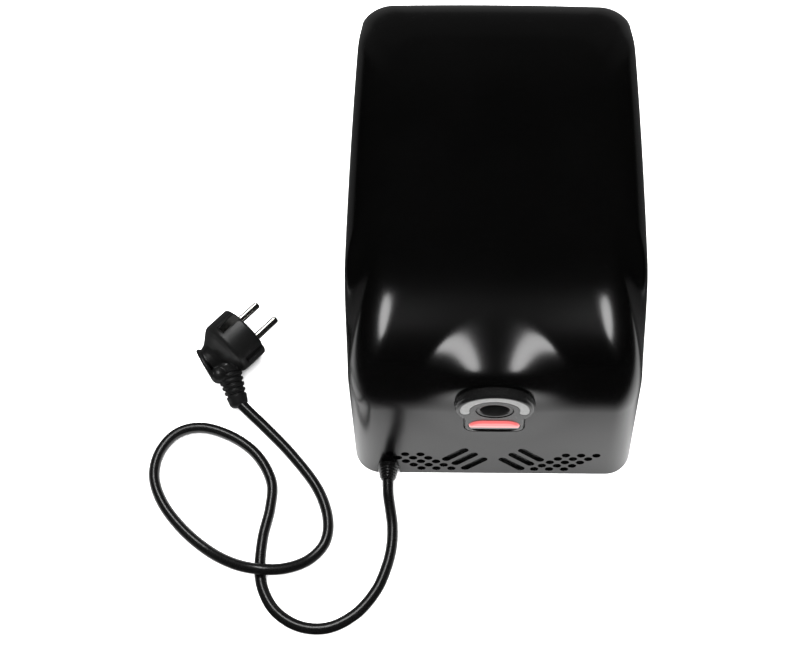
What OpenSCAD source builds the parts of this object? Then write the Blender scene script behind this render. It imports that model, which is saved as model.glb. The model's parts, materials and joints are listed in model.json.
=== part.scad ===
// Compact wall-mounted hand dryer with a mains lead, lying on its back.
// X is the width, -Y is the end the air leaves by, +Z points away from the wall face.

/* [Body] */
// Width of the cover at the wall
body_w = 174; // [150:1:215]
// Length of the cover at the wall
body_l = 276; // [260:1:335]
// Depth of the cover from the wall face to the middle of the front
body_d = 152; // [146:1:185]
// Wall thickness of the cover
wall = 2.6; // [2:0.1:3.2]
// Lean of the air end, in degrees
nose_lean = 7.5; // [4:0.1:9]
// Draft of the side walls, in degrees
side_draft = 1; // [0.5:0.1:2]
// Draft of the far end, in degrees
far_draft = 2; // [0.5:0.1:3]
// Corner radius in plan
corner_r = 16; // [13:0.5:20]
// Outward bow of each long side
side_bow = 1.2; // [0:0.1:2]

/* [Shoulders] */
// Reach of the side shoulder across the front
side_in = 25; // [18:1:30]
// Height of the side shoulder
side_up = 17; // [14:1:24]
// Reach of the air-end shoulder
nose_in = 52; // [40:1:60]
// Height of the air-end shoulder
nose_up = 66; // [56:1:72]
// Reach of the far-end shoulder
far_in = 47; // [30:1:55]
// Height of the far-end shoulder
far_up = 37; // [28:1:45]
// Fall of the front towards the sides
crown_x = 2; // [1:0.1:4]
// Fall of the front towards the ends
crown_y = 7; // [4:0.5:9]

/* [Air outlet] */
// Height of the outlet axis above the wall face
axis_z = 91; // [88:0.5:94]
// How far the outlet face stands back from the foot of the air end
outlet_back = 7.4; // [6:0.1:9]
// Radius of the outlet bezel
bezel_r = 23; // [21:0.5:25]
// Height of the bezel above the snout
bezel_proud = 6; // [4:0.5:7]
// Radius where the snout has faded into the cover
snout_r = 50; // [40:1:56]
// Distance over which the snout grows out of the air end
snout_soft = 3; // [1:0.5:5]
// Outer radius of the nozzle ring
ring_r = 10.8; // [10:0.1:12]
// Bore radius of the nozzle ring
bore_r = 8.3; // [7:0.1:9]
// Inner radius of the light ring
light_in_r = 14.5; // [13.5:0.1:15]
// Outer radius of the light ring
light_out_r = 20; // [19:0.1:20.2]
// Width of the sensor tab
tab_w = 35.6; // [34:0.1:38]
// Length of the sensor recess
sensor_l = 30.4; // [26:0.1:32]
// Height of the sensor recess
sensor_h = 17.6; // [15:0.1:18]

/* [Vents] */
// Pitch of the round vent holes along a row
vent_pitch = 9.4; // [8.5:0.1:10]
// Radius of a round vent hole
vent_r = 2.6; // [2:0.1:3]
// Length of a vent slot
slot_l = 22; // [18:0.5:23]
// Width of a vent slot
slot_w = 5.1; // [4:0.1:5.4]

/* [Wall plate] */
// Thickness of the wall plate
plate_t = 3; // [2:0.1:3.4]
// Spacing of the wall holes across the plate
hole_dx = 100; // [90:1:110]
// Spacing of the wall holes along the plate
hole_dy = 150; // [140:1:155]
// Radius of a wall hole
hole_r = 2.75; // [2.25:0.05:3]
// Gap between the plate and the cover
plate_gap = 0.4; // [0.3:0.05:0.6]

/* [Fan and motor] */
// Outer radius of the fan housing
fan_r = 44; // [36.5:0.5:46]
// Wall of the fan housing
fan_wall = 2.5; // [2:0.1:3]
// Gap between the impeller and the fan housing
tip_gap = 3.5; // [3:0.1:7.5]
// Number of impeller blades
blades = 9; // [7:1:11]
// Outer radius of the motor can
can_r = 32; // [31:0.5:33]
// Wall of the motor can
can_wall = 2; // [1.5:0.1:2.5]
// Radius of the armature
armature_r = 18.8; // [17:0.1:18.9]
// Radial air gap between armature and poles
air_gap = 0.6; // [0.4:0.05:1]
// Radius of the rotor shaft
shaft_r = 3; // [2.5:0.1:3.6]
// Radius of the bearings
bearing_r = 8; // [7:0.1:9.6]
// Radial running clearance of the shaft in its bearings
running_gap = 0.03; // [0.02:0.01:0.08]
// Radius of the commutator
commutator_r = 11; // [10:0.1:11.5]

/* [Mains lead] */
// Diameter of the lead
cord_d = 6.8; // [6:0.1:7.2]
// Place of the gland across the air end
gland_x = -65.5; // [-68:0.5:-60]
// Height of the gland axis
gland_z = 9; // [8.5:0.1:10]
// Radius of the gland where it leaves the cover
gland_r = 6.4; // [5.5:0.1:7]
// How far the gland stands out of the cover
gland_out = 9; // [6:0.5:10]
// Radius of the plug body
plug_r = 18.5; // [18:0.1:19]
// Distance between the plug pins
pin_pitch = 19; // [18.9:0.1:19.1]
// Radius of a plug pin
pin_r = 2.4; // [2.3:0.05:2.45]
// Length of a plug pin
pin_l = 19; // [18.5:0.1:19.5]

/* [Hidden] */
$fn = 48;
eps = 0.01;

// ---- places worked out from the driving dimensions ----
nose_y = -body_l / 2;
far_y = body_l / 2;
outlet_y = nose_y + outlet_back;
bezel_back_y = outlet_y + 12;
snout_y = outlet_y + bezel_proud;
plate_x = body_w / 2 - wall - plate_gap;
plate_y0 = nose_y + wall + plate_gap + plate_t * tan(nose_lean);
plate_y1 = far_y - wall - plate_gap - plate_t * tan(far_draft);
plate_corner = corner_r - wall;

// stations of the fan and motor along Y, from the wall plate's middle
duct_y = -22;
can_y0 = -8;
can_y1 = 50;
brush_y = 8;
core_y0 = 20;
core_y1 = 44;
impeller_y = 57.5;
eye_y = 74;
shaft_y0 = can_y0 + 0.2;
shaft_y1 = eye_y + 1.5;
fan_in_r = fan_r - fan_wall;
impeller_r = fan_in_r - tip_gap;
can_in_r = can_r - can_wall;
pole_r = armature_r + air_gap;
eye_r = fan_r / 2 - 3;
end_wall = 2.5;

// ---- the cover as one formula ----
ARC = 5;                 // steps round one plan corner
RUN = 11;                // steps along one straight side
RING = 4 * (ARC + RUN);  // points in one ring
WALL_RINGS = 4;
SHOULDER_RINGS = 9;
CROWN_RINGS = 5;
RINGS = WALL_RINGS + SHOULDER_RINGS + CROWN_RINGS;

function ease(t) = let (c = min(1, max(0, t))) c * c * (3 - 2 * c);
function mix(a, b, t) = a + (b - a) * t;

// outline of a rounded rectangle, from the middle of the right side
function arc_point(k, i, hx, y0, y1, r) =
    let (sx = (k == 0 || k == 3) ? 1 : -1, sy = k < 2 ? 1 : -1, a = 90 * k + 90 * i / ARC)
    [sx * (hx - r) + r * cos(a), (sy > 0 ? y1 - r : y0 + r) + r * sin(a)];
function outline(hx, y0, y1, r) = [
    for (k = [0:3])
        for (i = [0:ARC + RUN - 1])
            let (from = arc_point(k, ARC, hx, y0, y1, r),
                 to = arc_point((k + 1) % 4, 0, hx, y0, y1, r))
            i < ARC ? arc_point(k, i, hx, y0, y1, r) : mix(from, to, (i - ARC) / RUN)
];

// turn of the shoulder, 0 on the walls and 90 degrees on the front
function turn(ring) = 90 * min(1, max(0, (ring - WALL_RINGS) / (SHOULDER_RINGS - 1)));
// share of the wall's height reached
function rise(ring) = min(1, ring / WALL_RINGS);
// share of the ring left, from 1 at the shoulder's end to 0 in the middle of the front
function keep(ring) = ring < WALL_RINGS + SHOULDER_RINGS ? 1
    : 1 - (ring - WALL_RINGS - SHOULDER_RINGS + 1) / (CROWN_RINGS + 1);

function reach(v, up, tau, depth) = (depth - up) * v + up * sin(tau);
function front_z(x, y, depth) =
    depth - crown_x * pow(2 * x / body_w, 2) - crown_y * pow(abs(2 * (y - 10) / body_l), 2.2);

// pull towards the snout's flat face round the outlet, easing in over snout_soft
function snout(p, t) =
    let (away = norm([p[0], p[2] - axis_z]),
         w = ease((snout_r - away) / (snout_r - bezel_r)),
         behind = p[1] - snout_y - t,
         pull = (behind + sqrt(behind * behind + snout_soft * snout_soft)) / 2)
    [p[0], p[1] < 0 ? p[1] - w * pull : p[1], p[2]];

function cover_ring(ring, t) =
    let (tau = turn(ring), v = rise(ring), c = 1 - cos(tau), g = keep(ring), depth = body_d - t,
         zs = reach(v, side_up, tau, depth), zn = reach(v, nose_up, tau, depth),
         zf = reach(v, far_up, tau, depth),
         hx = body_w / 2 - t - zs * tan(side_draft) - (side_in - t) * c,
         y0 = nose_y + t + zn * tan(nose_lean) + (nose_in - t) * c,
         y1 = far_y - t - zf * tan(far_draft) - (far_in - t) * c,
         mid = (y0 + y1) / 2)
    [for (q = outline(hx, y0, y1, corner_r - t))
        let (bow = side_bow * (1 - pow(2 * q[1] / body_l, 2)) * sign(q[0]) * min(1, abs(q[0]) / hx),
             x = (q[0] + bow) * g, y = mid + (q[1] - mid) * g,
             up = side_up + (nose_up - side_up) * ease((y0 + 70 - q[1]) / 70)
                + (far_up - side_up) * ease((q[1] - y1 + 45) / 45),
             z = (front_z(x, y, depth) - up) * v + up * sin(tau))
        snout([x, y, z], t)];

function skin(t) = [for (ring = [0:RINGS - 1]) each cover_ring(ring, t)];
function crown_point(t) =
    let (last = cover_ring(RINGS - 1, t)) [0, (last[0][1] + last[RING / 2][1]) / 2, body_d - t];

SKIN = RINGS * RING + 1; // points in one skin, its crown point last
function band(a, b, ring) = [for (i = [0:RING - 1]) let (j = (i + 1) % RING)
    [a + ring * RING + i, a + ring * RING + j, b + j, b + i]];
function skin_faces(a, out) = [
    for (ring = [0:RINGS - 2]) each [for (i = [0:RING - 1])
        let (j = (i + 1) % RING, p = a + ring * RING, q = p + RING)
        out ? [p + i, q + i, q + j, p + j] : [p + i, p + j, q + j, q + i]],
    for (i = [0:RING - 1])
        let (j = (i + 1) % RING, p = a + (RINGS - 1) * RING, tip = a + SKIN - 1)
        out ? [p + i, tip, p + j] : [p + i, p + j, tip]
];
rim_faces = [for (i = [0:RING - 1]) let (j = (i + 1) % RING) [i, j, SKIN + j, SKIN + i]];

module cover_shell() {
    polyhedron(
        points = concat(skin(0), [crown_point(0)], skin(wall), [crown_point(wall)]),
        faces = concat(skin_faces(0, true), skin_faces(SKIN, false), rim_faces),
        convexity = 8);
}

// ---- frames that pieces are drawn in ----
// along the outlet axis: local Z runs along +Y from the given station
module on_axis(y) translate([0, y, axis_z]) rotate([-90, 0, 0]) children();
// on the sloping air end: local Z points out of it and local Y up it
module on_nose(x, z) translate([x, nose_y + z * tan(nose_lean), z]) rotate([90 - nose_lean, 0, 0])
    children();
// facing out of the outlet: local Z is -Y and local Y is +Z
module on_outlet(y) translate([0, y, axis_z]) rotate([90, 0, 0]) children();
// the plug lies with its pins level; local Z is the pins' way and local X joins the pins
plug_place = [-160.6, -48.9, plug_r];
plug_way = 48;
plug_roll = -104;
module on_plug() translate(plug_place) rotate([0, 0, plug_way]) rotate([0, 90, 0])
    rotate([0, 0, plug_roll]) children();

module ring(outer, inner, length) difference() {
    cylinder(r = outer, h = length);
    translate([0, 0, -eps]) cylinder(r = inner, h = length + 2 * eps);
}
module wedge(outer, inner, length, half) rotate([0, 0, -half]) rotate_extrude(angle = 2 * half)
    translate([inner, 0]) square([outer - inner, length]);
module rounded_bar(l, w, h) hull() for (s = [-1, 1]) translate([s * (l - w) / 2, 0, 0])
    cylinder(d = w, h = h, $fn = 24);
module stadium(l, w) {
    square([l - w, w], center = true);
    for (s = [-1, 1]) translate([s * (l - w) / 2, 0]) circle(d = w);
}
module rounded_plate(x0, x1, y0, y1, r, h) linear_extrude(h) union() {
    translate([x0 + r, y0]) square([x1 - x0 - 2 * r, y1 - y0]);
    translate([x0, y0 + r]) square([x1 - x0, y1 - y0 - 2 * r]);
    for (x = [x0 + r, x1 - r], y = [y0 + r, y1 - r]) translate([x, y]) circle(r = r);
}
module screw(r, l, head_r, head_h) {
    translate([0, 0, -l]) cylinder(r = r, h = l);
    difference() {
        cylinder(r = head_r, h = head_h);
        translate([0, 0, head_h * 0.5]) cube([0.8, head_r * 1.5, head_h + eps], center = true);
        translate([0, 0, head_h * 0.5]) cube([head_r * 1.5, 0.8, head_h + eps], center = true);
    }
}

// ---- air end: vents, bezel, sensor ----
vent_rows = 5;
vent_cols = 3;
vent_z0 = 6.2;        // height of the lowest row
vent_x0 = 2.77;       // its first hole, in pitches from the middle
slot_z = [12.9, 19.4, 25];        // heights of the slots' middles
slot_x = [11.7, 17.6, 23.4];      // their places across
slot_turn = 47;                   // their slant, in degrees

module vent_cutters() {
    for (side = [-1, 1]) {
        for (row = [0:vent_rows - 1], col = [0:vent_cols - 1])
            on_nose(side * vent_pitch * (vent_x0 + row / 2 + col), vent_z0 + row * vent_pitch / 2)
                translate([0, 0, -2 * wall]) cylinder(r = vent_r, h = 4 * wall, $fn = 16);
        for (i = [0:2])
            on_nose(side * slot_x[i], slot_z[i]) rotate([0, 0, -side * slot_turn])
                translate([0, 0, -2 * wall]) rounded_bar(slot_l, slot_w, 4 * wall);
    }
}

tab_z = 56;           // foot of the sensor tab
tab_corner = 6;
sensor_z = 66.5;       // middle of the sensor recess
fit_gap = 0.25;       // between the bezel and the cover

module bezel_outline(grow) {
    circle(r = bezel_r + grow);
    translate([-tab_w / 2 - grow, tab_z - axis_z + tab_corner])
        square([tab_w + 2 * grow, axis_z - tab_z - tab_corner]);
    translate([-tab_w / 2 + tab_corner, tab_z - axis_z - grow])
        square([tab_w - 2 * tab_corner, tab_corner + grow + eps]);
    for (s = [-1, 1]) translate([s * (tab_w / 2 - tab_corner), tab_z - axis_z + tab_corner])
        circle(r = tab_corner + grow);
}

cover_screw_z = 12;
cover_screw_y = 90;
cover_screw_r = 1.9;
cover_hole_x = body_w / 2 + side_bow * (1 - pow(2 * cover_screw_y / body_l, 2))
    - cover_screw_z * tan(side_draft);
module at_cover_screws() for (side = [-1, 1], y = [-cover_screw_y, cover_screw_y])
    translate([side * cover_hole_x, y, cover_screw_z]) rotate([0, side * 90, 0]) children();

notch_w = 13.6;
notch_top = 15.4;
module gland_notch() {
    reach_in = 24;
    translate([gland_x, nose_y - 6, notch_top - notch_w / 2]) rotate([-90, 0, 0])
        cylinder(d = notch_w, h = reach_in);
    translate([gland_x - notch_w / 2, nose_y - 6, -1])
        cube([notch_w, reach_in, notch_top - notch_w / 2 + 1]);
}

module cover() color([0.03, 0.03, 0.035]) difference() {
    cover_shell();
    vent_cutters();
    on_outlet(bezel_back_y + 6) linear_extrude(40) bezel_outline(fit_gap);
    gland_notch();
    at_cover_screws() translate([0, 0, -6]) cylinder(r = cover_screw_r + 0.3, h = 12, $fn = 24);
    at_cover_screws() translate([0, 0, -2.2])
        cylinder(r1 = cover_screw_r + 0.3, r2 = 4.4, h = 2.4, $fn = 24);
    hull() for (x = [-4, 4]) translate([x, far_y - 2 * wall - 2, 0.6])
        rotate([-90, 0, 0]) cylinder(r = 1.2, h = 4 * wall, $fn = 12);
    hull() for (x = [-4, 4]) translate([x + 40, far_y - 2 * wall - 2, 0.6])
        rotate([-90, 0, 0]) cylinder(r = 1.2, h = 4 * wall, $fn = 12);
}

lug_t = 7;
lug_w = 16;
lug_h = 20;
lug_x = plate_x - 1.4;
module back_plate() color([0.75, 0.76, 0.78]) difference() {
    union() {
        difference() {
            rounded_plate(-plate_x, plate_x, plate_y0, plate_y1, plate_corner, plate_t);
            translate([gland_x - notch_w / 2 - 1, plate_y0 - 1, -1]) cube([notch_w + 2, 14, 9]);
        }
        for (side = [-1, 1], y = [-cover_screw_y, cover_screw_y])
            translate([side * (lug_x - lug_t / 2) - lug_t / 2, y - lug_w / 2, 0])
                cube([lug_t, lug_w, lug_h]);
    }
    at_cover_screws() translate([0, 0, -16]) cylinder(r = cover_screw_r, h = 17);
    for (x = [-hole_dx / 2, hole_dx / 2], y = [-hole_dy / 2, hole_dy / 2])
        translate([x, y, -1]) cylinder(r = hole_r, h = plate_t + 2);
    at_saddle_screws() translate([0, 0, -plate_t - 1]) cylinder(r = saddle_screw_r, h = plate_t + 2);
    for (p = board_posts) translate([p[0], p[1], -1]) cylinder(r = m3_r, h = plate_t + 2);
    at_clamp_screws() translate([0, 0, -plate_t - 1]) cylinder(r = m3_r, h = plate_t + 2);
}

module cover_screws() color([0.6, 0.6, 0.62]) at_cover_screws() {
    translate([0, 0, -14]) cylinder(r = cover_screw_r, h = 12);
    difference() {
        translate([0, 0, -2 - eps]) cylinder(r1 = cover_screw_r, r2 = 3.8, h = 1.9);
        translate([0, 0, -0.5]) cube([0.9, 4.5, 1.2], center = true);
        translate([0, 0, -0.5]) cube([4.5, 0.9, 1.2], center = true);
    }
}

light_depth = 3;
light_half = 100;     // half the angle that the light ring spans
light_gap = 0.1;
module light_shape(grow, depth) rotate([0, 0, 90]) {
    mid = (light_in_r + light_out_r) / 2;
    wedge(light_out_r + grow, light_in_r - grow, depth, light_half);
    for (s = [-1, 1]) rotate([0, 0, s * light_half]) translate([mid, 0, 0])
        cylinder(r = (light_out_r - light_in_r) / 2 + grow, h = depth);
}

module outlet_bezel() color([0.1, 0.1, 0.11]) difference() {
    deep = bezel_back_y - outlet_y;
    soft = 2.4;
    union() {
        on_outlet(bezel_back_y) {
            cylinder(r = bezel_r, h = deep - soft);
            rotate_extrude() union() {
                square([bezel_r - soft, deep]);
                translate([bezel_r - soft, deep - soft]) intersection() {
                    circle(r = soft);
                    square(soft);
                }
            }
            difference() {
                linear_extrude(deep) bezel_outline(0);
                translate([0, 0, deep - soft]) ring(bezel_r + eps, bezel_r - soft, soft + eps);
            }
        }
        for (s = [-1, 1]) translate([s * (bezel_r + 1) - 1.5, bezel_back_y - 2.2, axis_z - 6])
            cube([3, 2.2, 12]);
    }
    on_outlet(bezel_back_y + 1) cylinder(r = ring_r + 0.05, h = deep + 2);
    on_outlet(outlet_y + light_depth) light_shape(light_gap, light_depth + 1);
    on_outlet(bezel_back_y + 1) translate([0, sensor_z - axis_z, 0])
        linear_extrude(deep + 2) stadium(sensor_l, sensor_h);
}

module nozzle_ring() color([0.25, 0.25, 0.26]) on_outlet(bezel_back_y) {
    h = bezel_back_y - outlet_y - 0.5;
    lip = 1.2;
    difference() {
        cylinder(r = ring_r, h = h);
        translate([0, 0, -1]) cylinder(r = bore_r, h = h + 2);
        translate([0, 0, h - lip]) cylinder(r1 = bore_r, r2 = bore_r + lip, h = lip + eps);
    }
}

module light_ring() color([0.85, 0.87, 0.88])
    on_outlet(outlet_y + light_depth) light_shape(0, light_depth);

board_t = 1.6;
module light_board() color([0.1, 0.35, 0.15]) on_outlet(bezel_back_y + board_t)
    rotate([0, 0, 90]) {
        wedge(light_out_r + 1, duct_tip_r + 0.4, board_t, light_half - 6);
    }

lens_t = 6.8;
lens_proud = 1.2;     // how far the lens stands out of the bezel's face
lens_drop = 2.8;      // how far it reaches below the recess's middle
module sensor_window() color([0.8, 0.15, 0.15]) on_outlet(outlet_y - lens_proud + lens_t)
    translate([0, sensor_z - axis_z, 0]) linear_extrude(lens_t) intersection() {
        stadium(sensor_l - 0.2, sensor_h - 0.2);
        translate([-sensor_l, -lens_drop]) square([2 * sensor_l, sensor_h]);
    }

cup_l = 34;
cup_h = sensor_h + 1.8;
cup_d = 8;
diode_r = 2.5;
diode_x = 7;
module at_sensor(y) on_outlet(y) translate([0, sensor_z - axis_z, 0]) children();
module sensor_housing() color([0.06, 0.06, 0.06]) at_sensor(bezel_back_y + cup_d) difference() {
    translate([-cup_l / 2, -cup_h / 2, 0]) cube([cup_l, cup_h, cup_d]);
    translate([0, 0, cup_d - 1]) linear_extrude(2) stadium(sensor_l, sensor_h);
    for (s = [-1, 1]) translate([s * diode_x, 0, -1]) cylinder(r = diode_r + 0.2, h = cup_d + 2);
}
module sensor_board() color([0.1, 0.35, 0.15]) at_sensor(bezel_back_y + cup_d + board_t)
    translate([-cup_l / 2 + 1, -cup_h / 2, 0]) cube([cup_l - 2, cup_h, board_t]);
module sensor_diodes() color([0.2, 0.2, 0.3]) at_sensor(bezel_back_y + cup_d)
    for (s = [-1, 1]) translate([s * diode_x, 0, 0]) {
        cylinder(r = diode_r, h = cup_d - 2);
        translate([0, 0, cup_d - 2]) sphere(r = diode_r, $fn = 32);
    }

foam_t = 5;
foam_l = 142;
foam_h = 32;
module inlet_filter() color([0.3, 0.3, 0.3]) difference() {
    on_nose(0, plate_t + 1.6) translate([-foam_l / 2, 0, -wall - 0.9 - foam_t])
        cube([foam_l, foam_h, foam_t]);
    translate([gland_x - 12, nose_y - 1, -1]) cube([24, 40, notch_top + 3]);
}

// ---- duct and heater ----
duct_wall = 2.2;
duct_tip_r = 12;
duct_cone_y = -30;
duct_tip_y = bezel_back_y + 12;
module air_duct() color([0.85, 0.84, 0.8]) on_axis(0) rotate_extrude() {
    out = [[duct_tip_r, bezel_back_y], [duct_tip_r, duct_tip_y], [fan_r, duct_cone_y], [fan_r, duct_y]];
    slant = (fan_r - duct_tip_r) / (duct_cone_y - duct_tip_y);
    shift = duct_wall * (sqrt(1 + slant * slant) - 1) / slant;
    in = [[fan_r - duct_wall, duct_y], [fan_r - duct_wall, duct_cone_y + shift],
        [duct_tip_r - duct_wall, duct_tip_y + shift], [duct_tip_r - duct_wall, bezel_back_y]];
    polygon(concat(out, in));
}

coil_count = 7;
coil_wire = 1.1;
coil_y0 = -84;
coil_y1 = -42;
function coil_station(i) = mix(coil_y0, coil_y1, i / (coil_count - 1));
coil_in = 0.295 * fan_r;
coil_out = fan_r - 17;
function coil_radius(i) = mix(coil_in, coil_out, i / (coil_count - 1));
module coil_rings(wire) for (i = [0:coil_count - 1]) on_axis(coil_station(i))
    rotate_extrude() translate([coil_radius(i), 0]) circle(r = wire, $fn = 24);

mica_tip = coil_in + 3;  // half width of the sheets at the narrow end
mica_r = fan_r - 6;       // and at the wide end
module heater_frame() color([0.75, 0.68, 0.5]) difference() {
    union() {
        for (a = [0, 90]) on_axis(0) rotate([0, 0, a]) rotate([90, 0, 0])
            translate([0, 0, -0.6]) linear_extrude(1.2)
                polygon([[-mica_tip, coil_y0 - 3], [mica_tip, coil_y0 - 3],
                    [coil_out + 7, coil_y1 + 3], [mica_r, duct_cone_y + 2],
                    [mica_r, duct_y - 4], [-mica_r, duct_y - 4],
                    [-mica_r, duct_cone_y + 2], [-coil_out - 7, coil_y1 + 3]]);
        on_axis(duct_cone_y + 1) ring(fan_r - duct_wall, mica_r - 1, duct_y - duct_cone_y - 5);
    }
    coil_rings(coil_wire + 0.1);
    on_axis(duct_cone_y - 4) translate([14, 0, 0]) cylinder(r = 6.2, h = 30);
}
module heater_coils() color([0.55, 0.5, 0.45]) coil_rings(coil_wire);
module thermal_cutout() color([0.8, 0.8, 0.82]) on_axis(duct_cone_y - 3) translate([14, 0, 0]) {
    cylinder(r = 6.2, h = 5);
    translate([0, 0, 5]) cylinder(r = 4, h = 3);
}

// ---- fan housing and its fixing ----
module fan_housing() color([0.2, 0.22, 0.25]) difference() {
    on_axis(duct_y) cylinder(r = fan_r, h = eye_y + end_wall - duct_y);
    on_axis(duct_y - 1) cylinder(r = fan_in_r, h = eye_y - duct_y + 1);
    on_axis(eye_y - 1) cylinder(r = eye_r, h = end_wall + 2);
}

band_t = 2.6;         // rubber band between the housing and the saddles
band_w = 8;
strap_t = 1.4;
saddle_y = [2, 54];
saddle_drop = 28;     // from the fan's axis down to the top of the saddles
saddle_x = sqrt(pow(fan_r + band_t + strap_t, 2) - pow(saddle_drop, 2)) - 1;
saddle_w = 8;
foot_w = 22;
foot_t = 3;
saddle_screw_r = 2;
saddle_screw_y = 7.8;
screw_play = 0.2;
saddle_screw_x = saddle_x - 8;
module rubber_mounts() color([0.05, 0.05, 0.05]) for (y = saddle_y)
    on_axis(y - band_w / 2) ring(fan_r + band_t, fan_r, band_w);
module at_saddle_screws() for (y = saddle_y, s = [-1, 1], x = [-saddle_screw_x, saddle_screw_x])
    translate([x, y + s * saddle_screw_y, plate_t]) children();
module housing_saddles() color([0.7, 0.7, 0.72]) difference() {
    for (y = saddle_y) {
        translate([-saddle_x, y - saddle_w / 2, plate_t])
            cube([2 * saddle_x, saddle_w, axis_z - plate_t - saddle_drop]);
        translate([-saddle_x, y - foot_w / 2, plate_t]) cube([2 * saddle_x, foot_w, foot_t]);
    }
    for (y = saddle_y) on_axis(y - foot_w) cylinder(r = fan_r + band_t, h = 2 * foot_w);
    for (y = saddle_y, s = [-1, 1]) translate([s * saddle_x / 2 - 8, y - saddle_w, plate_t + 8])
        cube([16, 2 * saddle_w, 20]);
    at_saddle_screws() cylinder(r = saddle_screw_r + screw_play, h = foot_t + 1);
}
strap_foot_z = 30;
module housing_straps() color([0.75, 0.75, 0.77]) for (y = saddle_y) difference() {
    union() {
        on_axis(y - band_w / 2) ring(fan_r + band_t + strap_t, fan_r + band_t, band_w);
        for (s = [-1, 1]) translate([s * (saddle_x + strap_t / 2) - strap_t / 2, y - band_w / 2, strap_foot_z])
            cube([strap_t, band_w, axis_z - saddle_drop - strap_foot_z]);
    }
    translate([-saddle_x, y - band_w, -1]) cube([2 * saddle_x, 2 * band_w, axis_z - saddle_drop + 1]);
    on_axis(y - band_w) cylinder(r = fan_r + band_t, h = 2 * band_w);
}
module saddle_screws() color([0.6, 0.6, 0.62]) at_saddle_screws()
    translate([0, 0, foot_t]) screw(saddle_screw_r, foot_t + plate_t - 0.5, 3.4, 2.4);

// ---- motor ----
fin_t = 2.4;
holder_x = 9;         // outer size of a brush holder across and along the shaft
holder_y = 11;
slot_x_in = 6;        // its passage
slot_y_in = 8;
holder_low = commutator_r + 1.2;
holder_high = can_r + 0.21 * (fan_in_r - can_r);
module motor_can() color([0.3, 0.31, 0.33]) difference() {
    union() {
        on_axis(can_y0) ring(can_r, can_in_r, can_y1 - can_y0);
        on_axis(can_y0) cylinder(r = can_r, h = 3);
        on_axis(can_y0) cylinder(r = bearing_r + 3, h = 7);
        intersection() {
            for (a = [45, 135]) on_axis(can_y0 + 6) rotate([0, 0, a])
                translate([-fan_r, -fin_t / 2, 0]) cube([2 * fan_r, fin_t, 34]);
            on_axis(can_y0) ring(fan_in_r, can_r - 0.5, 60);
        }
    }
    on_axis(can_y0 - 1) cylinder(r = bearing_r, h = 9);
    for (a = [0:60:300]) on_axis(can_y0 - 1) rotate([0, 0, a]) translate([20, 0, 0])
        cylinder(r = 5, h = 5);
    for (s = [-1, 1]) translate([0, brush_y, axis_z + s * can_r])
        cube([holder_x + 0.2, holder_y + 0.2, 10], center = true);
}

pole_half = 50;
yoke_t = 4.5;
module sector(outer, inner, half) intersection() {
    difference() {
        circle(r = outer);
        circle(r = inner);
    }
    polygon([[0, 0], [2 * outer, -2 * outer * tan(half)], [2 * outer, 2 * outer * tan(half)]]);
}
module stator_core() color([0.5, 0.52, 0.55]) on_axis(core_y0)
    linear_extrude(core_y1 - core_y0) difference() {
        circle(r = can_in_r);
        circle(r = pole_r);
        for (a = [90, 270]) rotate([0, 0, a]) sector(can_in_r - yoke_t, pole_r - 1, 90 - pole_half);
    }
coil_half = 68;
coil_end = 4.5;
module field_coils() color([0.72, 0.4, 0.2]) for (a = [0, 180]) on_axis(core_y0 - coil_end)
    rotate([0, 0, a]) difference() {
        wedge(can_in_r - yoke_t - 0.2, pole_r + 1.2, core_y1 - core_y0 + 2 * coil_end, coil_half);
        translate([0, 0, coil_end - 0.2])
            wedge(can_in_r, pole_r - 1, core_y1 - core_y0 + 0.4, pole_half + 1);
    }

bearing_h = 7;
module bearing() difference() {
    cylinder(r = bearing_r, h = bearing_h);
    translate([0, 0, -1]) cylinder(r = shaft_r + running_gap, h = bearing_h + 2);
    for (z = [-eps, bearing_h - 0.6]) translate([0, 0, z]) ring(bearing_r - 1.4, shaft_r + 1.6, 0.61);
}
module lower_bearing() color([0.8, 0.8, 0.82]) on_axis(can_y0) bearing();
module upper_bearing() color([0.8, 0.8, 0.82]) on_axis(can_y1 - 1) bearing();
module bearing_bridge() color([0.65, 0.65, 0.67]) difference() {
    union() {
        on_axis(can_y1) ring(can_r, can_r - 4, 2.6);
        on_axis(can_y1 - 1) cylinder(r = bearing_r + 2.4, h = bearing_h);
        for (a = [0, 90]) on_axis(can_y1) rotate([0, 0, a]) translate([-can_r + 1, -4, 0])
            cube([2 * can_r - 2, 8, 2.6]);
    }
    on_axis(can_y1 - 2) cylinder(r = bearing_r, h = bearing_h + 2);
}
module diffuser_plate() color([0.25, 0.25, 0.27]) on_axis(can_y1 + 2.6)
    ring(fan_in_r - 4.5, bearing_r + 2.6, 1.4);

brush_l = 13;
brush_gap = 0.1;
brush_low = commutator_r + 0.1;
spring_low = brush_low + brush_l;
spring_high = holder_high - 1.2;
module over_brush(s) translate([0, brush_y, axis_z]) mirror([0, 0, s < 0 ? 1 : 0]) children();
module brush_holders() color([0.78, 0.62, 0.3]) for (s = [-1, 1]) over_brush(s) difference() {
    translate([-holder_x / 2, -holder_y / 2, holder_low])
        cube([holder_x, holder_y, holder_high - holder_low]);
    translate([-slot_x_in / 2, -slot_y_in / 2, holder_low - 1])
        cube([slot_x_in, slot_y_in, spring_high - holder_low + 1]);
}
module brush(s) over_brush(s)
    translate([-slot_x_in / 2 + brush_gap, -slot_y_in / 2 + brush_gap, brush_low])
        cube([slot_x_in - 2 * brush_gap, slot_y_in - 2 * brush_gap, brush_l]);
module brush_upper() color([0.12, 0.12, 0.12]) brush(1);
module brush_lower() color([0.12, 0.12, 0.12]) brush(-1);

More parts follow.
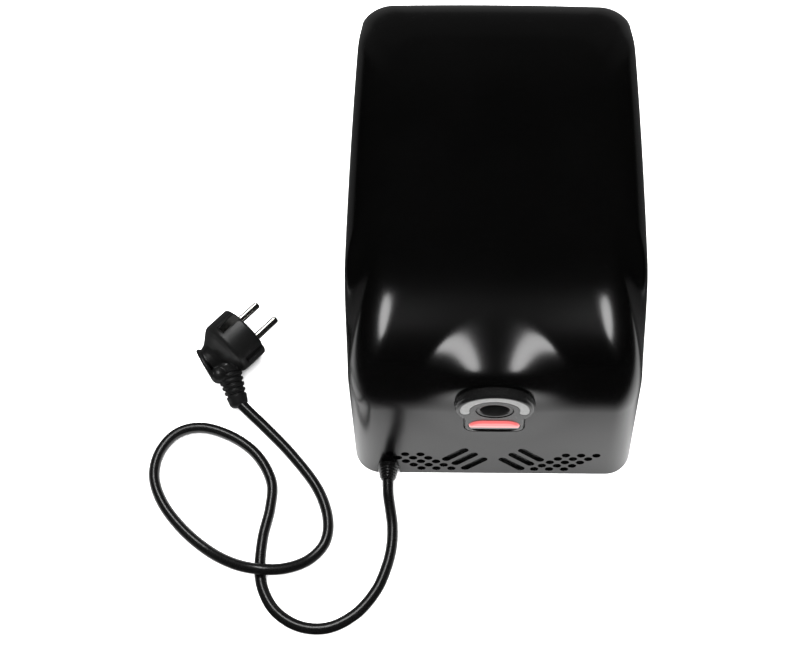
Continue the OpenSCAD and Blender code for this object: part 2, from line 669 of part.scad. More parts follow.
// ---- swept tubes ----
function unit(v) = v / norm(v);
function way(points, i) = unit(points[min(i + 1, len(points) - 1)] - points[max(i - 1, 0)]);
function tube_ring(at, along, r, sides) =
    let (side = unit(cross(along, [0, 0, 1])), up = cross(side, along))
    [for (k = [0:sides - 1]) at + r * (cos(360 * k / sides) * side + sin(360 * k / sides) * up)];
module tube(points, r, sides) {
    n = len(points);
    rings = [for (i = [0:n - 1]) each tube_ring(points[i], way(points, i), r, sides)];
    polyhedron(points = rings, convexity = 10, faces = concat(
        [[for (k = [0:sides - 1]) sides - 1 - k]],
        [for (i = [0:n - 2], k = [0:sides - 1]) let (j = (k + 1) % sides)
            [i * sides + k, i * sides + j, (i + 1) * sides + j, (i + 1) * sides + k]],
        [[for (k = [0:sides - 1]) (n - 1) * sides + k]]));
}

spring_turns = 5;
spring_r = 2.2;
spring_wire = 0.35;
spring_steps = 12;
function helix(z0, z1) = [for (i = [0:spring_turns * spring_steps])
    let (f = i / (spring_turns * spring_steps), a = 360 * i / spring_steps)
    [spring_r * cos(a), spring_r * sin(a), mix(z0, z1, f)]];
module brush_spring(s) over_brush(s)
    tube(helix(spring_low + spring_wire, spring_high - spring_wire), spring_wire, 6);
module brush_spring_upper() color([0.8, 0.8, 0.82]) brush_spring(1);
module brush_spring_lower() color([0.8, 0.8, 0.82]) brush_spring(-1);

// ---- rotor ----
module rotor_shaft() color([0.75, 0.76, 0.78]) on_axis(shaft_y0)
    cylinder(r = shaft_r, h = shaft_y1 - shaft_y0);
slots = 12;
module armature_slots(grow) for (i = [0:slots - 1]) rotate([0, 0, i * 360 / slots])
    translate([armature_r - 4.5, 0]) square([7, 3.2 + grow], center = true);
module armature_core() color([0.5, 0.52, 0.55]) on_axis(core_y0)
    linear_extrude(core_y1 - core_y0) difference() {
        circle(r = armature_r);
        circle(r = shaft_r);
        armature_slots(0);
    }
winding_end = 5;
module armature_windings() color([0.75, 0.42, 0.22]) {
    on_axis(core_y0 + eps) linear_extrude(core_y1 - core_y0 - 2 * eps) intersection() {
        armature_slots(-0.4);
        circle(r = armature_r - 1);
    }
    for (y = [core_y0 - winding_end, core_y1]) on_axis(y) rotate_extrude()
        translate([shaft_r + 1.5, 0]) {
            w = armature_r - shaft_r - 3;
            translate([0, 1]) square([w, winding_end - 2]);
            translate([1, 0]) square([w - 2, winding_end]);
        }
}
module commutator() color([0.72, 0.45, 0.25]) on_axis(brush_y - 6) {
    bars = 24;
    linear_extrude(11.6) difference() {
        circle(r = commutator_r);
        circle(r = shaft_r);
        for (i = [0:bars - 1]) rotate([0, 0, i * 360 / bars]) translate([commutator_r, 0])
            square([1.6, 0.4], center = true);
    }
}
blade_t = 1.5;
blade_h = 11;
blade_arc = 0.6 * impeller_r;   // radius of a blade's curve
blade_set = 0.58 * impeller_r;  // its middle, from the shaft
hub_r = 8;
hub_h = 12.5;
disc_t = 1.6;
// angle round the blade's middle at which it stands r from the shaft
function blade_turn(r) = acos((pow(blade_set, 2) + pow(blade_arc, 2) - r * r) / (2 * blade_set * blade_arc));
module impeller() color([0.15, 0.15, 0.17]) on_axis(impeller_y) {
    from = blade_turn(hub_r + 2);
    sweep = blade_turn(impeller_r - 1) - from;
    ring(impeller_r, shaft_r, disc_t);
    translate([0, 0, disc_t]) ring(hub_r, shaft_r, hub_h - disc_t);
    for (i = [0:blades - 1]) rotate([0, 0, i * 360 / blades]) translate([blade_set, 0, disc_t])
        rotate([0, 0, 180 + from]) rotate_extrude(angle = sweep)
            translate([blade_arc - blade_t / 2, 0]) square([blade_t, blade_h]);
}
module impeller_nut() color([0.8, 0.8, 0.82]) on_axis(impeller_y + hub_h) difference() {
    cylinder(r = 5.6, h = 4.4, $fn = 6);
    translate([0, 0, -1]) cylinder(r = shaft_r, h = 7);
}

// ---- control board ----
m3_r = 1.5;
board_z = 10;
board_x = 58;
board_y0 = 84;
board_y1 = 126;
top_z = board_z + board_t;
board_posts = [for (x = [-53, 53], y = [board_y0 + 5, board_y1 - 5]) [x, y]];
module control_board() color([0.1, 0.35, 0.15]) difference() {
    translate([-board_x, board_y0, board_z]) cube([2 * board_x, board_y1 - board_y0, board_t]);
    for (p = board_posts) translate([p[0], p[1], 0]) cylinder(r = m3_r, h = 30);
}
module board_standoffs() color([0.75, 0.65, 0.4]) for (p = board_posts)
    translate([p[0], p[1], plate_t]) ring(3.6, m3_r, board_z - plate_t);
clamp_y = nose_y + 24;
clamp_dx = 7.5;
clamp_post_h = gland_z + cord_d / 2 - plate_t;
module at_clamp_screws() for (s = [-1, 1]) translate([gland_x + s * clamp_dx, clamp_y, plate_t])
    children();
module m3_screws() color([0.6, 0.6, 0.62]) {
    for (p = board_posts) translate([p[0], p[1], top_z]) screw(m3_r, top_z - 1, 2.8, 2);
    at_clamp_screws() translate([0, 0, clamp_post_h + 2.4]) screw(m3_r, clamp_post_h + 4, 2.8, 2);
}
module on_board(x, y) translate([x, y, top_z]) children();
module transformer() color([0.45, 0.45, 0.47]) on_board(-32, 105) {
    translate([-16, -6, 0]) cube([32, 12, 27]);
    translate([-10, -13, 3]) cube([20, 26, 21]);
}
module relay() color([0.1, 0.2, 0.5]) on_board(-2, 112) translate([-8, -10, 0]) cube([16, 20, 16]);
module triac() color([0.6, 0.62, 0.64]) on_board(18, 113) {
    translate([-6, -9, 0]) cube([2, 18, 26]);
    for (i = [0:4]) translate([-4 - eps, -9 + i * 4, 0]) cube([7, 2, 26]);
}
module filter_capacitor() color([0.75, 0.6, 0.15]) on_board(0, 92) translate([-13, -5, 0])
    cube([26, 10, 17]);
trimmer_at = [24, 92];
module trimmer_base() color([0.15, 0.25, 0.6]) on_board(trimmer_at[0], trimmer_at[1]) difference() {
    translate([-6, -6, 0]) cube([12, 12, 7]);
    translate([0, 0, 2]) cylinder(r = 2.05, h = 10);
}
module trimmer_dial() color([0.9, 0.9, 0.88]) on_board(trimmer_at[0], trimmer_at[1]) difference() {
    union() {
        translate([0, 0, 2.2]) cylinder(r = 2, h = 5.2);
        translate([0, 0, 7.2]) cylinder(r = 5, h = 3.4);
    }
    translate([-0.6, -4, 9.4]) cube([1.2, 8, 3]);
}
switch_at = [42, 108];
module heat_switch_base() color([0.2, 0.2, 0.22]) on_board(switch_at[0], switch_at[1]) difference() {
    translate([-11, -6, 0]) cube([22, 12, 9]);
    translate([-8, -2.2, 3]) cube([16, 4.4, 8]);
}
slider_l = 6;
module heat_switch_slider() color([0.9, 0.9, 0.9]) on_board(switch_at[0], switch_at[1]) {
    translate([-7.8, -2, 3.2]) cube([slider_l, 4, 9]);
}

// ---- mains lead ----
gland_face_y = nose_y + gland_z * tan(nose_lean);
gland_end_y = gland_face_y - gland_out;
gland_in = 14;
module cord_gland() color([0.06, 0.06, 0.06]) translate([gland_x, gland_end_y, gland_z])
    rotate([-90, 0, 0]) rotate_extrude() polygon([[0, 0], [cord_d / 2 + 1, 0],
        [cord_d / 2 + 1.6, 1.4], [gland_r, gland_out - 1.5], [gland_r, gland_out + wall + 1.6],
        [gland_r + 1.2, gland_out + wall + 1.6], [gland_r + 1.2, gland_out + wall + 4],
        [gland_r - 1.4, gland_out + wall + 4], [gland_r - 1.4, gland_out + gland_in],
        [0, gland_out + gland_in]]);

terminal_x = gland_x + 12;
terminal_y = nose_y + 38;
pole_pitch = 9;       // between the terminal block's poles
module terminal_block() color([0.85, 0.85, 0.82]) translate([terminal_x, terminal_y, plate_t])
    difference() {
        translate([-14, -8, 0]) cube([28, 16, 13]);
        for (i = [-1:1], s = [-1, 1]) translate([i * pole_pitch, s * 4.5, 5]) cylinder(r = 2, h = 10);
        for (i = [-1:1]) translate([i * pole_pitch, 0, 4.5]) rotate([90, 0, 0])
            cylinder(r = 1.5, h = 20, center = true);
    }
module cord_clamp() color([0.15, 0.15, 0.15]) difference() {
    union() {
        translate([gland_x - 11, clamp_y - 3.5, plate_t + clamp_post_h]) cube([22, 7, 2.4]);
        for (s = [-1, 1]) translate([gland_x + s * clamp_dx, clamp_y, plate_t])
            cylinder(r = 3.3, h = clamp_post_h);
    }
    at_clamp_screws() translate([0, 0, -1]) cylinder(r = m3_r, h = 30);
}
lead_y0 = gland_face_y + gland_in;
pole_z = plate_t + 4.5;
core_r = 0.9;
module internal_leads() color([0.5, 0.3, 0.15]) {
    sheath_l = 10;
    translate([gland_x, lead_y0, gland_z]) rotate([-90, 0, 0]) cylinder(d = cord_d, h = sheath_l);
    for (i = [-1:1]) {
        pole_x = terminal_x + i * pole_pitch;
        tube([[gland_x + i * 1.9, lead_y0 + sheath_l - 0.5, gland_z],
            [gland_x + 1.5 + i * 3, lead_y0 + 13, gland_z - 0.4],
            [pole_x, terminal_y - 8.6, pole_z + 0.1], [pole_x, terminal_y - 3, pole_z]], core_r, 8);
        tube([[pole_x, terminal_y + 3, pole_z], [pole_x, terminal_y + 14, pole_z],
            [gland_x + i * 3, -60, 6 + i], [gland_x - 1 + i * 3, 0, 6 + i],
            [gland_x + 2 + i * 3, 60, 6 + i], [gland_x + 14 + i * 3, board_y0 - 8, 6.5],
            [gland_x + 21 + i * 3, board_y0 + 4, 8.4]], core_r, 8);
    }
}

// route of the lead from the gland to the plug; it crosses over itself once
lay = 3.45;           // height of the lead's middle where it lies flat
cord_route = [
    [-65.5, -146, 9], [-65, -155, 7.6], [-63.5, -164, 5.2], [-62, -174, 3.8], [-62, -186, lay],
    [-64.5, -199, lay], [-70.5, -214, lay], [-82, -228, lay], [-98, -236.5, lay],
    [-115, -236, lay], [-130, -227.5, lay], [-139, -214, lay], [-142, -199, lay],
    [-141.5, -181, lay], [-138.5, -163, lay], [-139, -146, lay], [-149, -129, lay],
    [-165, -117, lay], [-185, -110.5, lay], [-201, -114, lay], [-211, -126.5, lay],
    [-213, -143, lay], [-206, -160, lay], [-192, -176.5, lay], [-175, -190, 4.2],
    [-158, -199, 8], [-142, -203, 10.6], [-126, -202, 8.2], [-112, -195.5, 4.8],
    [-103, -184, lay], [-102.5, -168, lay], [-110.5, -149, lay], [-127.5, -128, lay],
    [-144, -111.5, 4], [-155, -101.5, 5.6], [-161.5, -95.5, 6.6]];
cord_start = [gland_x, gland_end_y, gland_z];
module power_cord() color([0.05, 0.05, 0.05]) {
    n = len(cord_route);
    tube([for (i = [0:n - 1]) i == 0 ? cord_start : cord_route[i]], cord_d / 2, 10);
}

pin_root = 12;        // length of a pin's root inside the plug
pin_root_r = pin_r - 0.5;
sleeve_from = [6.5, 6.5, -25];
lip_at = [-3.2, 1.5, -33.3];
lip_tilt = 16.6;
lip_t = 2.6;
sleeve_to = [22.6, 18.2, -34.6];
module plug_body() color([0.05, 0.05, 0.05]) on_plug() difference() {
    union() {
        translate([0, 0, -17]) cylinder(r = plug_r, h = 17);
        hull() {
            translate([0, 0, -17.4]) cylinder(r = plug_r - 0.05, h = 0.5, $fn = 40);
            translate([-3, 3, -26]) cylinder(r = 11, h = 1, $fn = 32);
            translate(sleeve_from) sphere(r = 8.6, $fn = 24);
        }
        translate(lip_at) rotate([0, lip_tilt, 0]) hull() {
            translate([-1.4, 0, -lip_t / 2]) cylinder(r = 10.5, h = lip_t, $fn = 32);
            translate([3, 0, -lip_t / 2]) cylinder(r = 9.5, h = lip_t, $fn = 32);
        }
        translate([lip_at[0], lip_at[1], lip_at[2]]) cylinder(r = 7.5, h = 9);
        hull() {
            translate(sleeve_from) sphere(r = 8, $fn = 24);
            translate(sleeve_to) sphere(r = 6.2, $fn = 24);
        }
    }
    for (s = [-1, 1]) {
        translate([s * plug_r, 0, -7]) cube([5, 5.4, 15], center = true);
        translate([0, s * plug_r, -7]) cube([7, 3.2, 15], center = true);
        translate([s * pin_pitch / 2, 0, -pin_root]) cylinder(r = pin_root_r, h = pin_root + 1);
    }
}
module plug_pins() color([0.85, 0.84, 0.8]) on_plug() for (s = [-1, 1])
    translate([s * pin_pitch / 2, 0, 0]) {
        translate([0, 0, -pin_root]) cylinder(r = pin_root_r, h = pin_root + eps);
        cylinder(r = pin_r, h = pin_l - 1.2);
        translate([0, 0, pin_l - 1.2]) cylinder(r1 = pin_r, r2 = pin_r - 1, h = 1.2);
    }
module earth_clips() color([0.85, 0.84, 0.8]) on_plug() for (s = [-1, 1])
    translate([0, s * (plug_r - 1.1), -7]) cube([5.6, 0.9, 14.8], center = true);

cover();
back_plate();
cover_screws();
outlet_bezel();
nozzle_ring();
light_ring();
light_board();
sensor_window();
sensor_housing();
sensor_board();
sensor_diodes();
inlet_filter();
air_duct();
heater_frame();
heater_coils();
thermal_cutout();
fan_housing();
housing_saddles();
rubber_mounts();
housing_straps();
saddle_screws();
motor_can();
stator_core();
field_coils();
lower_bearing();
bearing_bridge();
upper_bearing();
diffuser_plate();
brush_holders();
brush_spring_upper();
brush_spring_lower();
control_board();
board_standoffs();
m3_screws();
transformer();
relay();
triac();
filter_capacitor();
terminal_block();
cord_clamp();
internal_leads();
trimmer_base();
heat_switch_base();
cord_gland();
power_cord();
plug_body();
plug_pins();
earth_clips();
rotor_shaft();
armature_core();
armature_windings();
commutator();
impeller();
impeller_nut();
brush_upper();
brush_lower();
trimmer_dial();
heat_switch_slider();
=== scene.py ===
"""A compact wall hand dryer lying on its back, with its mains lead and angled plug.

Shapes are worked out in millimetres and written to meshes in metres.
+X is the width, -Y the end the air leaves by, +Z out of the wall face.
"""
import json
import math

import bpy
import numpy as np
from mathutils import Matrix, Vector


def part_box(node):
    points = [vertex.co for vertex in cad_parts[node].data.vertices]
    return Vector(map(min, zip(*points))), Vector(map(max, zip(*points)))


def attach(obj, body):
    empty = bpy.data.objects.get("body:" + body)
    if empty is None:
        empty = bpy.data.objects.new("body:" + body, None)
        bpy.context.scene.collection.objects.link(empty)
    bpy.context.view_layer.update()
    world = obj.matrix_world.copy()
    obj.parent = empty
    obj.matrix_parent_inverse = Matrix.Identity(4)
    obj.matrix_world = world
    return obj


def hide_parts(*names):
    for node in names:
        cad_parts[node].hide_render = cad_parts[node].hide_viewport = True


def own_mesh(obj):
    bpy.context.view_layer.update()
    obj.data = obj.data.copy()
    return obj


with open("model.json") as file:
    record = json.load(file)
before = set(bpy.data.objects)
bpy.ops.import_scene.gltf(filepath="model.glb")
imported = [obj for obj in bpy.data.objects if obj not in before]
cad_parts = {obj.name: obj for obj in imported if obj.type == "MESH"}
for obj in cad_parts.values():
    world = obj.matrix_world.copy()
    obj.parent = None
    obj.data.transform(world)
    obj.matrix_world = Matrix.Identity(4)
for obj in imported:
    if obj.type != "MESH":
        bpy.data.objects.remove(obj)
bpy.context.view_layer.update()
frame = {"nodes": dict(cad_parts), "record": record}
NODES = frame["nodes"]
RECORD = frame["record"]
MM = 0.001
TAU = 2 * math.pi


# ---------------- places from the frame
def box_mm(node):
    """Lowest and highest corner of a CAD node, in millimetres."""
    low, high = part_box(node)
    return np.array(low) / MM, np.array(high) / MM


cover_low, cover_high = box_mm("cover")
bezel_low, bezel_high = box_mm("outlet_bezel")
ring_low, ring_high = box_mm("nozzle_ring")
light_low, light_high = box_mm("light_ring")
gland_low, gland_high = box_mm("cord_gland")

# the cover's own shape, as the CAD draws it
SIDE_BOW = 1.2
WALL = 2.6
LENGTH = cover_high[1] - cover_low[1]
WIDTH = 2 * (cover_high[0] - SIDE_BOW)
DEPTH = cover_high[2]
NOSE_Y = cover_low[1]
FAR_Y = cover_high[1]
CORNER_R = 16.0
NOSE_LEAN = math.radians(7.5)
SIDE_DRAFT = math.radians(1.0)
FAR_DRAFT = math.radians(2.0)
SIDE_IN, SIDE_UP = 25.0, 17.0
NOSE_IN, NOSE_UP = 52.0, 66.0
FAR_IN, FAR_UP = 47.0, 37.0
CROWN_X, CROWN_Y, CROWN_MID = 2.0, 7.0, 10.0
NOSE_BLEND, FAR_BLEND = 70.0, 45.0

AXIS_Z = (ring_low[2] + ring_high[2]) / 2
OUTLET_Y = bezel_low[1]
BEZEL_BACK = bezel_high[1]
BEZEL_R = bezel_high[2] - AXIS_Z
BEZEL_PROUD = 6.0
SNOUT_Y = OUTLET_Y + BEZEL_PROUD
SNOUT_R = 50.0
SNOUT_SOFT = 3.0
RING_R = (ring_high[0] - ring_low[0]) / 2
BORE_R = RING_R - 2.5
LIGHT_OUT = (light_high[0] - light_low[0]) / 2
LIGHT_IN = LIGHT_OUT - 5.5
LIGHT_HALF = 100    # degrees
TAB_HALF = 17.8
TAB_FOOT = AXIS_Z - bezel_low[2]
TAB_CORNER = 6.0
SENSOR_Z = 66.5
SENSOR_L, SENSOR_H = 30.4, 17.6
LENS_PROUD, LENS_DROP, LENS_T = 1.2, 2.8, 6.8

VENT_PITCH, VENT_R = 9.4, 2.6
VENT_X0, VENT_Z0 = 2.77, 6.2
SLOT_X = (11.7, 17.6, 23.4)
SLOT_Z = (12.9, 19.4, 25.0)
SLOT_L, SLOT_W, SLOT_TURN = 22.0, 5.1, math.radians(47)

CORD_R = 3.4
GLAND_X = (gland_low[0] + gland_high[0]) / 2
GLAND_Z = (gland_low[2] + gland_high[2]) / 2
GLAND_END = gland_low[1]

PLUG_AT = (-160.6, -48.9, 18.5)
PLUG_WAY = math.radians(48)
PLUG_ROLL = math.radians(-104)
PLUG_R = 18.5
PIN_R, PIN_L, PIN_PITCH = 2.4, 19.0, 19.0
SLEEVE_FROM = (6.5, 6.5, -25.0)
SLEEVE_TO = (22.6, 18.2, -34.6)
LIP_AT = (-3.2, 1.5, -33.3)
KNUCKLE_AT = (9.0, 3.5, -32.8)
LIP_TILT = math.radians(16.6)

# the lead's route from the gland to the plug, in metres
CORD_ROUTE = [
    (-0.0655, -0.1458, 0.009), (-0.065, -0.155, 0.0076), (-0.0635, -0.164, 0.0052),
    (-0.062, -0.174, 0.0038), (-0.062, -0.186, 0.00345), (-0.0645, -0.199, 0.00345),
    (-0.0705, -0.214, 0.00345), (-0.082, -0.228, 0.00345), (-0.098, -0.2365, 0.00345),
    (-0.115, -0.236, 0.00345), (-0.130, -0.2275, 0.00345), (-0.139, -0.214, 0.00345),
    (-0.142, -0.199, 0.00345), (-0.1415, -0.181, 0.00345), (-0.1385, -0.163, 0.00345),
    (-0.139, -0.146, 0.00345), (-0.149, -0.129, 0.00345), (-0.165, -0.117, 0.00345),
    (-0.185, -0.1105, 0.00345), (-0.201, -0.114, 0.00345), (-0.211, -0.1265, 0.00345),
    (-0.213, -0.143, 0.00345), (-0.206, -0.160, 0.00345), (-0.192, -0.1765, 0.00345),
    (-0.175, -0.190, 0.0042), (-0.158, -0.199, 0.008), (-0.142, -0.203, 0.0106),
    (-0.126, -0.202, 0.0082), (-0.112, -0.1955, 0.0048), (-0.103, -0.184, 0.00345),
    (-0.1025, -0.168, 0.00345), (-0.1105, -0.149, 0.00345), (-0.1275, -0.128, 0.00345),
    (-0.144, -0.1115, 0.004), (-0.155, -0.1015, 0.0056), (-0.1615, -0.0955, 0.0066),
]


# ---------------- camera
def look_through(place, tilt, roll, lens, shift):
    """Camera tilted down by tilt from level, looking along +Y, turned by roll about its view."""
    forward = Vector((0, math.cos(tilt), -math.sin(tilt)))
    side = Vector((1, 0, 0))
    down = forward.cross(side)
    right = math.cos(roll) * side + math.sin(roll) * down
    up = right.cross(forward)
    data = bpy.data.cameras.new("camera")
    data.lens = lens
    data.shift_x, data.shift_y = shift
    camera = bpy.data.objects.new("camera", data)
    camera.matrix_world = Matrix.Translation(place) @ Matrix((right, up, -forward)).transposed().to_4x4()
    bpy.context.scene.collection.objects.link(camera)
    bpy.context.scene.camera = camera


CAMERA_AT = (-0.0102, -0.3852, 0.769)
CAMERA_TILT, CAMERA_ROLL = math.radians(65.52), math.radians(-0.47)
LENS_LENGTH, LENS_SHIFT = 57.0, (-0.0971, 0.0)
look_through(CAMERA_AT, CAMERA_TILT, CAMERA_ROLL, LENS_LENGTH, LENS_SHIFT)


# ---------------- mesh helpers
def blank(name, shape):
    """A bare mesh object from (verts, faces) in millimetres: a piece to be dressed, or a cutter."""
    verts, faces = shape
    mesh = bpy.data.meshes.new(name)
    mesh.from_pydata((np.asarray(verts) * MM).tolist(), [], [tuple(f) for f in faces])
    mesh.update()
    thing = bpy.data.objects.new(name, mesh)
    bpy.context.scene.collection.objects.link(thing)
    return thing


def new_piece(name, shape, body, slot, smooth_angle=35, replaces=()):
    """One piece from (verts, faces) in millimetres; shaded smooth below smooth_angle."""
    piece = blank(name, shape)
    piece.data.validate()
    return dress(piece, body, slot, smooth_angle, replaces)


def dress(piece, body, slot, smooth_angle=35, replaces=()):
    """Shading, body, slot and material of a new piece."""
    if piece.type == "MESH":
        mesh = piece.data
        mesh.polygons.foreach_set("use_smooth", [True] * len(mesh.polygons))
        if smooth_angle < 180:
            mesh.set_sharp_from_angle(angle=math.radians(smooth_angle))
    piece.data.materials.clear()
    piece.data.materials.append(finish(slot))
    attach(piece, body)
    if replaces:
        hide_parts(*replaces)
    return piece


def grid_faces(rows, cols, wrap=True, start=0, flip=False):
    """Quads of a grid whose points run row by row; wrap joins the last column to the first."""
    r, c = np.meshgrid(np.arange(rows - 1), np.arange(cols if wrap else cols - 1), indexing="ij")
    d = (c + 1) % cols
    quads = np.stack([r * cols + c, r * cols + d, (r + 1) * cols + d, (r + 1) * cols + c], -1)
    quads = quads.reshape(-1, 4) + start
    return (quads[:, ::-1] if flip else quads).tolist()


def stack(outlines):
    """Closed solid through equal outlines, each an (n, 3) array of one ring, with flat ends."""
    rows, cols = len(outlines), len(outlines[0])
    verts = np.concatenate(outlines)
    faces = grid_faces(rows, cols)
    faces.append(list(range(cols))[::-1])
    faces.append(list(range((rows - 1) * cols, rows * cols)))
    return verts, faces


def join(parts):
    """Several (verts, faces) as one."""
    verts, faces, start = [], [], 0
    for v, f in parts:
        verts.append(np.asarray(v))
        faces += [[i + start for i in face] for face in f]
        start += len(v)
    return np.concatenate(verts), faces


def lathe(profile, steps=96):
    """Closed turned shape. Each profile point (r, h) makes the ring (r cos a, r sin a, h); a point
    on the axis closes an end, and a profile that meets itself closes as a tube."""
    turn = np.linspace(0, TAU, steps, endpoint=False)
    inner = [p for p in profile if p[0] > 1e-6]
    rings = [np.stack([r * np.cos(turn), r * np.sin(turn), np.full(steps, h)], 1) for r, h in inner]
    verts, faces = np.concatenate(rings), grid_faces(len(inner), steps)
    last = (len(inner) - 1) * steps
    if profile[0][0] < 1e-6:
        verts = np.concatenate([verts, [[0, 0, profile[0][1]]]])
        faces += [[(i + 1) % steps, i, len(verts) - 1] for i in range(steps)]
    if profile[-1][0] < 1e-6:
        verts = np.concatenate([verts, [[0, 0, profile[-1][1]]]])
        faces += [[last + i, last + (i + 1) % steps, len(verts) - 1] for i in range(steps)]
    if profile[0][0] > 1e-6 and profile[0] == profile[-1]:
        faces = [[i % last for i in face] for face in faces]
        verts = verts[:last]
    return verts, faces


def arc(middle, radius, start, end, steps):
    """Points middle + radius (cos a, sin a) of a circular arc, its angles in degrees."""
    a = np.radians(np.linspace(start, end, steps))
    return [(middle[0] + radius * math.cos(x), middle[1] + radius * math.sin(x)) for x in a]


def wire_along(path, wire, hint, sides):
    """Round wire along a path: each ring is path + wire (side cos b + up sin b), where side is
    square to the path and to the hint, and up is square to both."""
    way = np.gradient(path, axis=0)
    way /= np.linalg.norm(way, axis=1, keepdims=True)
    side = np.cross(way, hint)
    side /= np.linalg.norm(side, axis=1, keepdims=True)
    up = np.cross(side, way)
    b = np.linspace(0, TAU, sides, endpoint=False)[None, :, None]
    rings = path[:, None] + wire * (side[:, None] * np.cos(b) + up[:, None] * np.sin(b))
    verts, faces = stack(list(rings))
    return verts, [face[::-1] for face in faces]


def oriented(verts, matrix):
    """Points carried by a 4x4 matrix."""
    m = np.array(matrix)
    return np.asarray(verts) @ m[:3, :3].T + m[:3, 3]


def facing_out(y, z=None):
    """Frame whose Z points out of the outlet, along -Y, and whose Y points along +Z."""
    z = AXIS_Z if z is None else z
    return Matrix.Translation((0, y, z)) @ Matrix.Rotation(math.pi / 2, 4, "X")


def on_nose(x, z):
    """Frame on the leaning air end: Z points out of it and Y up it."""
    place = Matrix.Translation((x, NOSE_Y + z * math.tan(NOSE_LEAN), z))
    return place @ Matrix.Rotation(math.pi / 2 - NOSE_LEAN, 4, "X")


def on_plug():
    """Frame of the plug: Z is the pins' way and X joins the pins."""
    return (Matrix.Translation(PLUG_AT) @ Matrix.Rotation(PLUG_WAY, 4, "Z")
            @ Matrix.Rotation(math.pi / 2, 4, "Y") @ Matrix.Rotation(PLUG_ROLL, 4, "Z"))


def along(start, end):
    """Frame whose Z runs from start to end."""
    way = (Vector(end) - Vector(start)).normalized()
    return Matrix.Translation(start) @ way.to_track_quat("Z", "Y").to_matrix().to_4x4()


def boolean(piece, cutter, operation="DIFFERENCE"):
    """Applies one boolean to a piece and removes the cutter."""
    step = piece.modifiers.new("cut", "BOOLEAN")
    step.operation = operation
    step.solver = "MANIFOLD"
    step.object = cutter
    apply_modifiers(piece)
    bpy.data.objects.remove(cutter)


def apply_modifiers(piece):
    """Turns a piece's modifiers into its mesh."""
    deps = bpy.context.evaluated_depsgraph_get()
    result = bpy.data.meshes.new_from_object(piece.evaluated_get(deps))
    piece.modifiers.clear()
    piece.data = result


# ---------------- shader maths
class Value:
    """A node socket; arithmetic on it adds Math nodes to its tree."""

    def __init__(self, tree, socket):
        self.tree, self.socket = tree, socket

    def math(self, operation, *values):
        return Nodes(self.tree).add("ShaderNodeMath", {"operation": operation}, 0, dict(enumerate(values)))

    def __add__(self, other): return self.math("ADD", self, other)
    def __radd__(self, other): return self.math("ADD", other, self)
    def __sub__(self, other): return self.math("SUBTRACT", self, other)
    def __rsub__(self, other): return self.math("SUBTRACT", other, self)
    def __mul__(self, other): return self.math("MULTIPLY", self, other)
    def __rmul__(self, other): return self.math("MULTIPLY", other, self)

    def sin(self): return self.math("SINE", self)


def plug_in(tree, socket, value):
    """Sets a socket to a number, colour or vector, or links a Value to it."""
    if isinstance(value, Value):
        tree.links.new(value.socket, socket)
    else:
        socket.default_value = value


class Nodes:
    """A node tree, and the one way that nodes are put into it."""

    def __init__(self, tree):
        self.tree = tree

    def add(self, kind, settings=None, out=0, sockets=None, **inputs):
        """A node of a type: its settings first, then its sockets by number, then by name."""
        node = self.tree.nodes.new(kind)
        for key, value in (settings or {}).items():
            setattr(node, key, value)
        for key, value in (sockets or {}).items():
            plug_in(self.tree, node.inputs[key], value)
        for key, value in inputs.items():
            plug_in(self.tree, node.inputs[key.replace("_", " ")], value)
        return Value(self.tree, node.outputs[out]) if node.outputs else None


# the colour sockets of a Mix node
MIX_FACTOR, MIX_FIRST, MIX_SECOND, MIX_RESULT = 0, 6, 7, 2


class Finish(Nodes):
    """One material: a Principled shader and the nodes that feed it."""

    def __init__(self, name):
        self.material = bpy.data.materials.new(name)
        self.material.use_nodes = True
        super().__init__(self.material.node_tree)
        self.shader = self.tree.nodes["Principled BSDF"]
        self.place = self.add("ShaderNodeTexCoord", out="Object")

    def stretched(self, x=1.0, y=1.0, z=1.0, turn=(0, 0, 0)):
        """Object coordinates scaled along each axis, after a turn."""
        return self.add("ShaderNodeMapping", Vector=self.place, Scale=(x, y, z), Rotation=turn)

    def noise(self, scale, detail=3.0, roughness=0.5, at=None):
        return self.add("ShaderNodeTexNoise", Vector=at or self.place, Scale=scale, Detail=detail,
                        Roughness=roughness)

    def cells(self, scale, feature="F1", at=None, out="Distance"):
        return self.add("ShaderNodeTexVoronoi", {"feature": feature}, out, Vector=at or self.place,
                        Scale=scale)

    def axis(self, name):
        """One coordinate, in metres."""
        return self.add("ShaderNodeSeparateXYZ", None, name, Vector=self.place)

    def ramp(self, factor, low, high, a=0.0, b=1.0):
        """Factor mapped smoothly from [low, high] to [a, b]."""
        return self.add("ShaderNodeMapRange", {"interpolation_type": "SMOOTHSTEP"}, "Result",
                        Value=factor, From_Min=low, From_Max=high, To_Min=a, To_Max=b)

    def blend(self, factor, a, b):
        """Colour a to colour b by factor."""
        first, second = (c if isinstance(c, Value) else (*c, 1) for c in (a, b))
        return self.add("ShaderNodeMix", {"data_type": "RGBA"}, MIX_RESULT,
                        {MIX_FACTOR: factor, MIX_FIRST: first, MIX_SECOND: second})

    def bump(self, height, distance, strength=1.0):
        """Feeds the shader's normal with a height, its full step given in millimetres."""
        result = self.add("ShaderNodeBump", None, "Normal", Height=height, Strength=strength,
                          Distance=distance * MM)
        plug_in(self.tree, self.shader.inputs["Normal"], result)

    def set(self, **inputs):
        """The shader's own sockets, by name; a plain colour gets its alpha."""
        for key, value in inputs.items():
            if isinstance(value, tuple) and key.endswith("Color"):
                value = (*value, 1)
            plug_in(self.tree, self.shader.inputs[key.replace("_", " ")], value)


